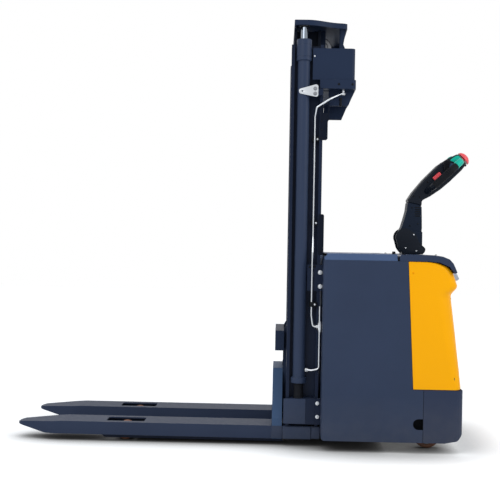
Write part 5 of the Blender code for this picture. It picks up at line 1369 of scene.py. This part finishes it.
# ---------------------------------------------------------------- body
@dataclass
class Body:
    """Sheet body, covers, panel and switches."""

    half: float = 0.400
    seam_x: float = 0.5348
    stop_at: Place = (0.772, -0.080, 0.570)
    key_at: Place = (0.772, 0.080, 0.570)

    def build(self) -> None:
        """Paint the covers and add their fine parts.

        Returns:
            Nothing.
        """
        paint(Finishes.SLATE, "body_shell")
        # The battery cover takes the lighter copy of the slate paint: painted sky reflection.
        paint(Finishes.LID_SKYLIT, "battery_cover")
        paint(Finishes.PLASTIC, "rear_lower_cover", "rear_panel")
        paint(Finishes.DECK, "deck_cover")
        self.hood()
        self.tie_down_shade_cups()
        paint(Finishes.PANEL, "instrument_plate")
        self.cover_fixings()
        self.seals()
        self.switches()
        self.instruments()
        self.lower_vents()

    def cover_fixings(self) -> None:
        """Screws of hood and deck, lid hinges and the lid's rubber stop.

        Returns:
            Nothing.
        """
        pegs = Shape("hood_pegs").fasten(0.3968, ((0.5990, 0.7795),), 0.0042)
        pegs.dress(Finishes.YELLOW, "chassis")
        screws = Shape("cover_screws")
        hinge = Shape("lid_hinges")
        for side in SIDES:
            for x in (0.560, 0.700):
                screws.at((x, side * 0.360, 0.8573)).screw(0.0050)
            hinge.at((0.2195, side * 0.27, 0.8555), Facing.FAR)
            for z in (-0.036, -0.0115, 0.013):
                hinge.lathe([(0.0, z), (0.0040, z), (0.0040, z + 0.023), (0.0, z + 0.023)], 20)
        screws.dress(Finishes.BLACK_STEEL, "chassis")
        hinge.dress(Finishes.BLACK_STEEL, "lid")
        turned("lid_stop", Finishes.RUBBER, "lid", (self.seam_x - 0.010, -0.300, 0.8575), [
            (0.0, 0.013), (0.006, 0.0125), (0.0075, 0.010), (0.0075, 0.004), (0.009, 0.0)], 28)

    def hood(self) -> None:
        """The moulded hood: soft rear corners that open towards the shoulder, one shell.

        Returns:
            Nothing.
        """
        sections = [(0.2775, 0.8118, 0.028), (0.2830, 0.8145, 0.030), (0.2900, 0.8150, 0.034),
                    (0.3200, 0.8128, 0.044), (0.3575, 0.8100, 0.052), (0.4050, 0.8047, 0.058),
                    (0.4550, 0.7990, 0.062), (0.5000, 0.7938, 0.064), (0.5378, 0.7895, 0.066),
                    (0.5900, 0.7828, 0.068), (0.6400, 0.7764, 0.070), (0.6720, 0.7722, 0.070),
                    (0.6820, 0.7722, 0.068), (0.6900, 0.7736, 0.064), (0.7010, 0.7815, 0.056),
                    (0.7120, 0.7905, 0.050), (0.7200, 0.7940, 0.047), (0.7272, 0.7945, 0.045),
                    (0.7400, 0.7900, 0.043), (0.7600, 0.7831, 0.041), (0.7785, 0.7764, 0.040),
                    (0.7930, 0.7665, 0.040), (0.8060, 0.7546, 0.040), (0.8170, 0.7330, 0.040),
                    (0.8246, 0.7118, 0.040), (0.8272, 0.6900, 0.040), (0.8278, 0.6700, 0.040)]
        across = [-0.2003, -0.1000, 0.0, 0.1000, 0.2003]
        shell = Shape("rear_hood_shell")
        rows = []
        for z, rear, corner in sections:
            front = 0.6066 - 0.0290 * (z - 0.2773) / 0.5505
            half = self.half - 0.0025
            middle = front + 0.45 * (rear - corner - front)
            line = [(front, -half), (middle, -half)]
            line += arc((rear - corner, -half + corner), corner, -90.0, 0.0, 8)
            line += [(rear, y) for y in across] + [(x, -y) for x, y in line[::-1]]
            rows.append([shell.mesh.verts.new((x, y, z)) for x, y in line])
        first, last = 11, 14
        window = (0.4550, 0.6720)
        for (low_z, *_), (high_z, *_), low, high in zip(sections, sections[1:], rows, rows[1:]):
            for i in range(len(low) - 1):
                if first <= i <= last and window[0] <= low_z and high_z <= window[1]:
                    continue
                shell.mesh.faces.new((low[i], low[i + 1], high[i + 1], high[i]))
        bmesh.ops.recalc_face_normals(shell.mesh, faces=shell.mesh.faces)
        bmesh.ops.solidify(shell.mesh, geom=list(shell.mesh.faces), thickness=0.0026)
        shell.dress(Finishes.YELLOW, "chassis", ["rear_hood"], 40.0)

    @staticmethod
    def tie_down_shade_cups() -> None:
        """Dark cups behind the lashing holes, which hide the drive bay; their dark colour is
        painted shade inside the holes.

        Returns:
            Nothing.
        """
        # Near-black sheets: painted shade inside the lashing holes.
        cups = Shape("tie_down_shade_cups")
        for side in SIDES:
            cups.beside(side, (0.5900, 0.6800), (0.3535, 0.3570), (0.0800, 0.1750), 0.0010)
            for z in (0.0820, 0.1730):
                cups.beside(side, (0.5900, 0.6800), (0.3550, 0.3850), (z - 0.0015, z + 0.0015),
                            0.0005)
        cups.dress(Finishes.RUBBER, "chassis")

    @staticmethod
    def seals() -> None:
        """Dark seals in the open seams between the covers.

        Returns:
            Nothing.
        """
        seals = Shape("cover_seals")
        rings = Shape("tie_down_rims")
        for side in SIDES:
            for (x0, z0), (x1, z1) in (((0.5760, 0.8280), (0.6050, 0.2775)),
                                       ((0.6520, 0.2700), (0.6520, 0.0500))):
                seals.sheet(side, [(x0 - 0.0006, z0), (x0 + 0.0022, z0), (x1 + 0.0022, z1),
                                   (x1 - 0.0006, z1)], (0.3945, 0.3985))
            rings.at(ORIGIN).tube([(x, side * 0.3980, z) for x, z in
                                   arc((0.632, 0.1265), 0.0245, 90.0, 270.0, 24)], 0.0018, 3)
        seals.dress(Finishes.RUBBER, "chassis")
        rings.dress(Finishes.BLACK_STEEL, "chassis")
        for name, x, half, z, corner in (
                ("cover_ledge", (0.7870, 0.8183), 0.3935, (0.2690, 0.2765), 0.022),
                ("deck_seal", (0.5322, 0.5392), 0.3960, (0.8294, 0.8440), 0.0)):
            strip = Shape(name).at(ORIGIN).box(x, (-half, half), z, 0.001, corner)
            strip.dress(Finishes.RUBBER, "chassis")

    def switches(self) -> None:
        """The emergency stop on its yellow ring, the key in its lock and the panel's screws.

        Returns:
            Nothing.
        """
        turned("stop_collar", Finishes.YELLOW, "chassis", self.stop_at, [
            (0.0186, 0.0001), (0.0265, 0.0001), (0.0280, 0.0012), (0.0275, 0.0026),
            (0.0205, 0.0034), (0.0186, 0.0028), (0.0186, 0.0001)], 56, Facing.REAR)
        button = Shape("emergency_stop_button").at(self.stop_at, Facing.REAR)
        button.lathe([(0.0, 0.0238), (0.0060, 0.0235), (0.0105, 0.0224), (0.0145, 0.0200),
                      (0.0170, 0.0165), (0.0179, 0.0128), (0.0174, 0.0090), (0.0160, 0.0067),
                      (0.0084, 0.0067), (0.0084, -0.0055), (0.0, -0.0055)], 56)
        arrow = rounded(rectangle((0.0030, 0.0110), (-0.0008, 0.0008)), 0.0006)
        for turn in (0.0, 120.0, 240.0):
            button.at(self.stop_at, Facing.REAR, turn).slab(arrow, 0.0215, 0.0237, 0.0003)
        button.dress(Finishes.STOP, "emergency_stop", ["emergency_stop"])
        turned("key_bezel", Finishes.ZINC, "chassis", self.key_at, [
            (0.0081, 0.0001), (0.0170, 0.0001), (0.0175, 0.0012), (0.0140, 0.0040),
            (0.0085, 0.0045), (0.0081, 0.0040)], 48, Facing.REAR)
        key = Shape("key_in_lock").at(self.key_at, Facing.REAR)
        key.lathe([(0.0, 0.0078), (0.0068, 0.0078), (0.0074, 0.0070), (0.0074, -0.0055),
                   (0.0, -0.0055)], 40)
        key.at(self.key_at, Facing.FAR)
        bow = [(0.0065, -0.0035), (0.0120, -0.0040), (0.0140, -0.0098), (0.0218, -0.0098)]
        bow = rounded(bow + [(x, -y) for x, y in bow[::-1]], 0.002)
        key.place = key.place @ Matrix.Scale(-1.0, 4, (1.0, 0.0, 0.0))
        key.slab(bow, -0.0012, 0.0012, 0.0004, [arc((0.0180, 0.0), 0.0022, 0.0, 340.0, 17)])
        key.dress(Finishes.STEEL, "key_switch", ["key_switch"])
        screws = Shape("panel_screws")
        for y in (-0.188, 0.188):
            for z in (0.467, 0.660):
                screws.at((0.7968, y, z), Facing.REAR).screw(0.0045)
        screws.dress(Finishes.BLACK_STEEL, "chassis")

    def instruments(self) -> None:
        """Display glass, keys and lamps on the slanting plate.

        Returns:
            Nothing.
        """
        low, high = Vector((0.7947, 0.7272)), Vector((0.7766, 0.7785))
        lean = math.atan2(low.x - high.x, high.y - low.y)
        middle = (low + high) / 2
        out = 0.0134
        look = (math.cos(lean), 0.0, math.sin(lean))
        at = (middle.x + out * math.cos(lean), 0.0, middle.y + out * math.sin(lean))
        housing = Shape("display_housing").at((0.0, 0.0, 0.0), Facing.NEAR)
        side_on = rounded([(0.7955, 0.7845), (0.8140, 0.8010), (0.8318, 0.7970), (0.8610, 0.7470),
                           (0.8520, 0.7385), (0.8000, 0.7330)], 0.005)
        housing.slab(side_on, -0.050, 0.050, 0.003)
        housing.dress(Finishes.PANEL, "chassis")
        rear_look = (0.866, 0.0, 0.500)
        glass = Shape("display_glass").at((0.8468, 0.0, 0.7735), rear_look)
        glass.box((-0.040, 0.040), (-0.019, 0.019), (-0.0020, 0.0006), 0.0005, 0.004)
        glass.dress(Finishes.GLASS, "chassis")
        keys = Shape("display_keys").at(at, look)
        for y in (-0.110, -0.085, -0.060, 0.060, 0.085, 0.110):
            keys.box((y - 0.008, y + 0.008), (-0.008, 0.008), (-0.0010, 0.0016), 0.0007, 0.003)
        keys.dress(Finishes.RUBBER, "chassis")
        lamps = Shape("display_lamps").at(at, look)
        for y in (-0.110, -0.085, -0.060):
            lamps.box((y - 0.0018, y + 0.0018), (0.0125, 0.0150), (-0.0005, 0.0006), 0.0003, 0.001)
        lamps.dress(Finishes.GREEN, "chassis")

    def lower_vents(self) -> None:
        """Dark strips on the lower cover's rear that paint the shade inside vent slots.

        Returns:
            Nothing.
        """
        # Each slot is a dark strip: painted shade where a vent opening would be.
        slots = Shape("lower_cover_slot_shades")
        for index in range(9):
            y = -0.16 + 0.04 * index
            slots.at((0.8236, y, 0.185), Facing.REAR)
            slots.box((-0.014, 0.014), (-0.0035, 0.0035), (-0.0010, 0.0003), 0.0002, 0.003)
        slots.dress(Finishes.RUBBER, "chassis")


@dataclass
class Battery:
    """The battery's cell tops, plugs and links."""

    low: float = 0.2370
    top: float = 0.6553
    cell_x: float = 0.120
    cell_y: float = 0.109
    post: float = 0.040

    def build(self) -> None:
        """Paint the case and set cell tops, plugs and links on it.

        Returns:
            Nothing.
        """
        paint(Finishes.BATTERY, "battery")
        lids = Shape("battery_cells")
        plugs = Shape("battery_plugs")
        posts = Shape("battery_links")
        for row in range(2):
            x = self.low + 0.0625 + self.cell_x * row
            for index in range(6):
                y = self.cell_y * (index - 2.5)
                lids.at((x, y, self.top))
                lids.box((-0.057, 0.057), (-0.051, 0.051), (0.0, 0.005), 0.0015, 0.004)
                plugs.at((x, y, self.top + 0.005)).lathe([
                    (0.014, 0.0), (0.014, 0.004), (0.012, 0.007), (0.004, 0.008),
                    (0.0, 0.008)], 28)
                for end in SIDES:
                    posts.at((x + end * self.post, y, self.top + 0.005)).lathe(
                        [(0.009, 0.0), (0.008, 0.009), (0.0, 0.009)], 24)
            for index in range(5):
                end = 1 if (index + row) % 2 else -1
                posts.at((x + end * self.post, self.cell_y * (index - 2), self.top + 0.011))
                posts.box((-0.008, 0.008), (-0.058, 0.058), (0.0, 0.004), 0.001, 0.004)
        lids.dress(Finishes.BATTERY, "chassis")
        plugs.dress(Finishes.YELLOW, "chassis")
        posts.dress(Finishes.LEAD, "chassis")


# ---------------------------------------------------------------- tiller
@dataclass
class Tiller:
    """Hinge, arm, head with loop grips, and the controls."""

    hinge: Flat = (0.603, 0.9367)
    tip: Flat = (0.868, 1.302)
    lean: float = math.atan2(0.667, 0.745)
    throttle_at: Flat = (0.790, 1.269)
    rocker_at: Flat = (0.822, 1.2985)
    horn_at: Flat = (0.748, 1.224)
    half: float = 0.047

    def build(self) -> None:
        """Paint the mouldings and make the controls.

        Returns:
            Nothing.
        """
        paint(Finishes.TILLER, "tiller_base", "tiller_head")
        paint(Finishes.ARM, "tiller_arm")
        self.hinge_parts()
        self.arm_parts()
        self.grips()
        self.safety_cap()
        self.throttle()
        self.rocker()
        self.horn()
        self.head_details()

    def hinge_parts(self) -> None:
        """Covers, wings and screws on the hinge cheeks.

        Returns:
            Nothing.
        """
        disc = arc(self.hinge, 0.0412, 62.0, 205.0, 24)
        disc += [(0.5735, 0.8900), (0.5800, 0.8780), (0.5880, 0.8680), (0.6000, 0.8600),
                 (0.6860, 0.8600), (0.6930, 0.8660), (0.6930, 0.8760), (0.6700, 0.9010),
                 (0.6640, 0.9300), (0.6500, 0.9560)]
        disc = rounded(disc, 0.003, 3)
        wing = rounded([(0.6300, 0.9640), (0.6300, 0.8620), (0.6930, 0.8620), (0.6990, 0.8720),
                        (0.6960, 0.8850), (0.6850, 0.8990), (0.6850, 0.9640)], 0.006)
        for name, finish, outline, out, edge in (
                ("hinge_covers", Finishes.TILLER, disc, (0.0530, 0.0556), 0.0010),
                ("hinge_wings", Finishes.ARM, wing, (0.0468, 0.0524), 0.0014)):
            shape = Shape(name)
            for side in SIDES:
                shape.sheet(side, outline, out, edge)
            shape.dress(finish, "steer")
        screws = Shape("hinge_screws").fasten(
            0.0554, ((0.6440, 0.9480), (0.6080, 0.8861), (0.6580, 0.8730)), 0.0042)
        screws.dress(Finishes.ZINC, "steer")

    @staticmethod
    def arm_parts() -> None:
        """Cooling fins and screws on the arm.

        Returns:
            Nothing.
        """
        fins = Shape("arm_fins")
        for side in SIDES:
            for index in range(5):
                z = 1.0366 + 0.0100 * index
                fin = rounded(rectangle((0.6500, 0.6740), (z - 0.0022, z + 0.0022)), 0.0018)
                fins.sheet(side, fin, (0.0433, 0.0465), 0.0008)
        fins.dress(Finishes.RUBBER, "tiller")
        screws = Shape("arm_screws").fasten(
            0.0444, ((0.6270, 0.990), (0.6360, 1.075), (0.6640, 1.000)), 0.0034)
        screws.dress(Finishes.BLACK_STEEL, "tiller")

    def grips(self) -> None:
        """Soft sleeves with rings on the loop grips.

        Returns:
            Nothing.
        """
        sleeves = Shape("grip_sleeves")
        bands = Shape("grip_bands")
        for side in SIDES:
            route = bent([(0.730, side * 0.105, 1.176), (0.792, side * 0.128, 1.236),
                          (0.824, side * 0.1085, 1.2668)], 0.030, 8)
            sleeves.at((0.0, 0.0, 0.0)).tube(route, 0.0168, 6)
            end = bent([(0.8245, side * 0.1082, 1.2673), (0.846, side * 0.095, 1.288),
                        (0.8495, side * 0.046, 1.2899)], 0.024, 10)
            bands.at((0.0, 0.0, 0.0)).tube(end, 0.0170, 8)
            for first, second in zip(route[1::2], route[2::2]):
                along = (second - first).normalized()
                sleeves.at(tuple(first), tuple(along))
                sleeves.lathe([(0.0166, -0.0016), (0.0180, -0.0008), (0.0180, 0.0008),
                               (0.0166, 0.0016)], 32)
        sleeves.dress(Finishes.RUBBER, "tiller")
        bands.dress(Finishes.GREEN, "tiller")

    def along(self, start: Flat, distance: float) -> Place:
        """A point in the middle plane, moved out along the head."""
        return (start[0] + distance * math.cos(self.lean), 0.0,
                start[1] + distance * math.sin(self.lean))

    def safety_cap(self) -> None:
        """The red cap on the head's tip, and the soft ring behind it.

        Returns:
            Nothing.
        """
        look = (math.cos(self.lean), 0.0, math.sin(self.lean))
        turned("safety_cap_dome", Finishes.RED, "safety_cap", self.along(self.tip, 0.004), [
            (0.0, 0.0288), (0.0060, 0.0285), (0.0120, 0.0272), (0.0180, 0.0250),
            (0.0185, 0.0240), (0.0200, 0.0236), (0.0240, 0.0215), (0.0290, 0.0172),
            (0.0325, 0.0120), (0.0338, 0.0080), (0.0334, 0.0056), (0.0100, 0.0056),
            (0.0100, -0.0075), (0.0, -0.0075)], 64, look, ["safety_cap"])
        turned("safety_cap_ring", Finishes.RUBBER, "tiller", self.along(self.tip, 0.0), [
            (0.0330, -0.0040), (0.0350, -0.0030), (0.0350, 0.0010), (0.0300, 0.0020)], 56, look)

    def throttle(self) -> None:
        """Butterfly wings with thumb ribs on their shaft.

        Returns:
            Nothing.
        """
        piece = Shape("throttle_wings")
        x, z = self.throttle_at
        piece.at((x, 0.0, z), Facing.NEAR).lathe(
            [(0.0, -0.0565), (0.0060, -0.0565), (0.0060, 0.0565), (0.0, 0.0565)], 32)
        wing = rounded([(-0.013, -0.022), (0.013, -0.022), (0.014, 0.027), (-0.014, 0.027)],
                       0.010, 8)
        for side in SIDES:
            piece.sheet(side, wing, (self.half + 0.0006, self.half + 0.0222), 0.0030, zero=(x, z))
            for index in range(7):
                piece.at((x, side * (self.half + 0.0218), z - 0.015 + 0.0058 * index),
                         outwards(side))
                piece.box((-0.0085, 0.0085), (-0.0013, 0.0013), (-0.001, 0.0004), 0.0004, 0.001)
        piece.dress(Finishes.RUBBER, "throttle", ["throttle"])

    def rocker(self) -> None:
        """The green wheel of the lift rocker.

        Returns:
            Nothing.
        """
        x, z = self.rocker_at
        rim = [(0.0218, 0.0145), (0.0195, 0.0168), (0.0, 0.0168)]
        turned("lift_rocker_wheel", Finishes.GREEN, "lift_rocker", (x, 0.0, z),
               mirrored(rim) + rim, 72, Facing.NEAR, ["lift_rocker"])

    def horn(self) -> None:
        """The red slider button in its bezel on the near side.

        Returns:
            Nothing.
        """
        x, z = self.horn_at
        turn = math.degrees(self.lean)
        button = Shape("horn_slider").at((x, -self.half, z), Facing.NEAR, turn)
        button.box((-0.0215, 0.0215), (-0.0080, 0.0080), (-0.0060, 0.0062), 0.0022, 0.0055)
        for index in range(5):
            rib = -0.011 + 0.0055 * index
            button.box((rib - 0.0009, rib + 0.0009), (-0.0052, 0.0052), (0.0055, 0.0067),
                       0.0004, 0.0006)
        button.dress(Finishes.RED, "horn_button", ["horn_button"])
        bezel = Shape("horn_bezel").at((x, -self.half, z), Facing.NEAR, turn)
        bezel.slab(rounded(rectangle((-0.0265, 0.0265), (-0.0125, 0.0125)), 0.008),
                   -0.0005, 0.0020, 0.0008,
                   [rounded(rectangle((-0.0224, 0.0224), (-0.0089, 0.0089)), 0.005)])
        bezel.dress(Finishes.RUBBER, "tiller")

    def head_details(self) -> None:
        """Green light band, thumb pads and screws on the head.

        Returns:
            Nothing.
        """
        lens = rounded([(0.8050, 1.2985), (0.8300, 1.3165), (0.8440, 1.3215), (0.8560, 1.3120),
                        (0.8740, 1.2880), (0.8590, 1.2715), (0.8350, 1.2870)], 0.004)
        pad = rounded([(0.8090, 1.2850), (0.8300, 1.2830), (0.8530, 1.2660), (0.8480, 1.2580),
                       (0.8130, 1.2350), (0.8000, 1.2430)], 0.006)
        for name, finish, outline, out in (
                ("head_light_band", Finishes.GREEN, lens, 0.0012),
                # The thumb pads take the lighter copy of the slate paint: painted sky light.
                ("head_thumb_pads", Finishes.HEEL_SKYLIT, pad, 0.0004)):
            shape = Shape(name)
            for side in SIDES:
                shape.sheet(side, outline, (self.half - 0.001, self.half + out), 0.0004)
            shape.dress(finish, "tiller")
        screws = Shape("head_screws").fasten(self.half, (
            (0.6420, 1.1280), (0.6700, 1.1250), (0.7050, 1.1950), (0.7300, 1.1600)), 0.0040)
        screws.dress(Finishes.BLACK_STEEL, "tiller")


# ---------------------------------------------------------------- light and camera
@dataclass
class Studio:
    """White floor, soft light and the camera of the photograph."""

    camera_at: Place = (0.146124, -4.5804, 0.8908)
    yaw: float = -0.0309
    pitch: float = -0.0059
    roll: float = 0.0174
    lens: float = 69.6
    sky: float = 0.66
    key: float = 92.0
    glow: float = 0.42
    # Reach and strength of the painted contact shadow on the floor.
    painted_shadow_reach: float = 0.30
    painted_shadow_power: float = 1.6
    floor_white: float = 0.93
    floor_half: float = 14.0
    floor_z: float = -0.0006

    def build(self) -> None:
        """Set floor, light, colour view and camera.

        Returns:
            Nothing.
        """
        self.floor()
        self.world()
        self.lamps()
        self.camera()
        bpy.context.scene.view_settings.view_transform = "Standard"

    def floor(self) -> None:
        """A plain pale floor, with painted contact shadow that darkens it a little where something
        stands on it.

        Returns:
            Nothing.
        """
        data = bpy.data.meshes.new("floor")
        reach = (-self.floor_half, self.floor_half)
        data.from_pydata([(x, y, 0.0) for x, y in rectangle(reach, reach)], [], [(0, 1, 2, 3)])
        floor = bpy.data.objects.new("floor", data)
        bpy.context.scene.collection.objects.link(floor)
        floor.location.z = self.floor_z
        material = bpy.data.materials.new("floor")
        material.use_nodes = True
        tree = material.node_tree
        # Painted contact shadow: ambient occlusion darkens the floor's colour and glow near the
        # machine.
        near = Groups.node(tree, "AmbientOcclusion", {"Distance": self.painted_shadow_reach})
        shade = Groups.maths(tree, "POWER", near.outputs["AO"], self.painted_shadow_power)
        path = Groups.node(tree, "LightPath", {})
        seen = Groups.maths(tree, "MAXIMUM", path.outputs["Is Camera Ray"],
                            path.outputs["Is Glossy Ray"])
        glow = Groups.maths(tree, "MULTIPLY", seen,
                            Groups.maths(tree, "MULTIPLY", shade, self.glow))
        Groups.fill(tree, tree.nodes["Principled BSDF"], {
            "Base Color": Groups.maths(tree, "MULTIPLY", shade, self.floor_white),
            "Roughness": 0.95, "Emission Color": (1.0, 1.0, 1.0, 1.0),
            "Emission Strength": glow})
        data.materials.append(material)

    def world(self) -> None:
        """A white world that the camera sees as plain white.

        Returns:
            Nothing.
        """
        world = bpy.data.worlds.new("studio")
        bpy.context.scene.world = world
        world.use_nodes = True
        tree = world.node_tree
        tree.nodes.clear()
        path = Groups.node(tree, "LightPath", {})
        lit = Groups.node(tree, "Background", {"Color": (0.90, 0.95, 1.0, 1.0),
                                               "Strength": self.sky})
        seen = Groups.node(tree, "Background", {"Color": (1.0, 1.0, 1.0, 1.0), "Strength": 1.0})
        clear = Groups.maths(tree, "MAXIMUM", path.outputs["Is Glossy Ray"],
                             path.outputs["Is Transmission Ray"])
        which = Groups.maths(tree, "MAXIMUM", path.outputs["Is Camera Ray"], clear)
        mix = Groups.node(tree, "MixShader", {0: which, 1: lit.outputs[0], 2: seen.outputs[0]})
        Groups.node(tree, "OutputWorld", {0: mix.outputs[0]})

    def lamps(self) -> None:
        """A large soft key from the near left and a smaller soft light from the rear.

        Returns:
            Nothing.
        """
        for name, at, aim, size, power in (
                ("key", (-2.2, -4.2, 4.0), (0.2, 0.0, 0.8), 3.0, self.key),
                ("rim", (3.6, -1.6, 2.6), (0.5, 0.0, 1.0), 1.8, 0.4 * self.key)):
            light = bpy.data.lights.new(name, "AREA")
            light.size = size
            light.energy = power
            lamp = bpy.data.objects.new(name, light)
            bpy.context.scene.collection.objects.link(lamp)
            lamp.location = at
            lamp.rotation_euler = (Vector(aim) - Vector(at)).to_track_quat("-Z", "Y").to_euler()

    def camera(self) -> None:
        """The camera solved from the photograph.

        Returns:
            Nothing.
        """
        forward = Vector((math.sin(self.yaw) * math.cos(self.pitch),
                          math.cos(self.yaw) * math.cos(self.pitch), math.sin(self.pitch)))
        level = Vector((math.cos(self.yaw), -math.sin(self.yaw), 0.0))
        upright = level.cross(forward)
        right = math.cos(self.roll) * level + math.sin(self.roll) * upright
        up = -math.sin(self.roll) * level + math.cos(self.roll) * upright
        stance = Matrix((right, up, -forward)).transposed().to_4x4()
        data = bpy.data.cameras.new("camera")
        data.lens = self.lens
        data.sensor_width = 36.0
        data.clip_end = 60.0
        camera = bpy.data.objects.new("camera", data)
        bpy.context.scene.collection.objects.link(camera)
        camera.matrix_world = Matrix.Translation(self.camera_at) @ stance
        bpy.context.scene.camera = camera


def main() -> None:
    """Build every sub-assembly in order.

    Returns:
        Nothing.
    """
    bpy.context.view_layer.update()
    for part in (Studio(), Forks(), RunningGear(), Mast(), Hydraulics(), Body(), Battery(),
                 Tiller()):
        part.build()
        LOG.info("built %s", type(part).__name__)


if __name__ == "__main__":
    main()
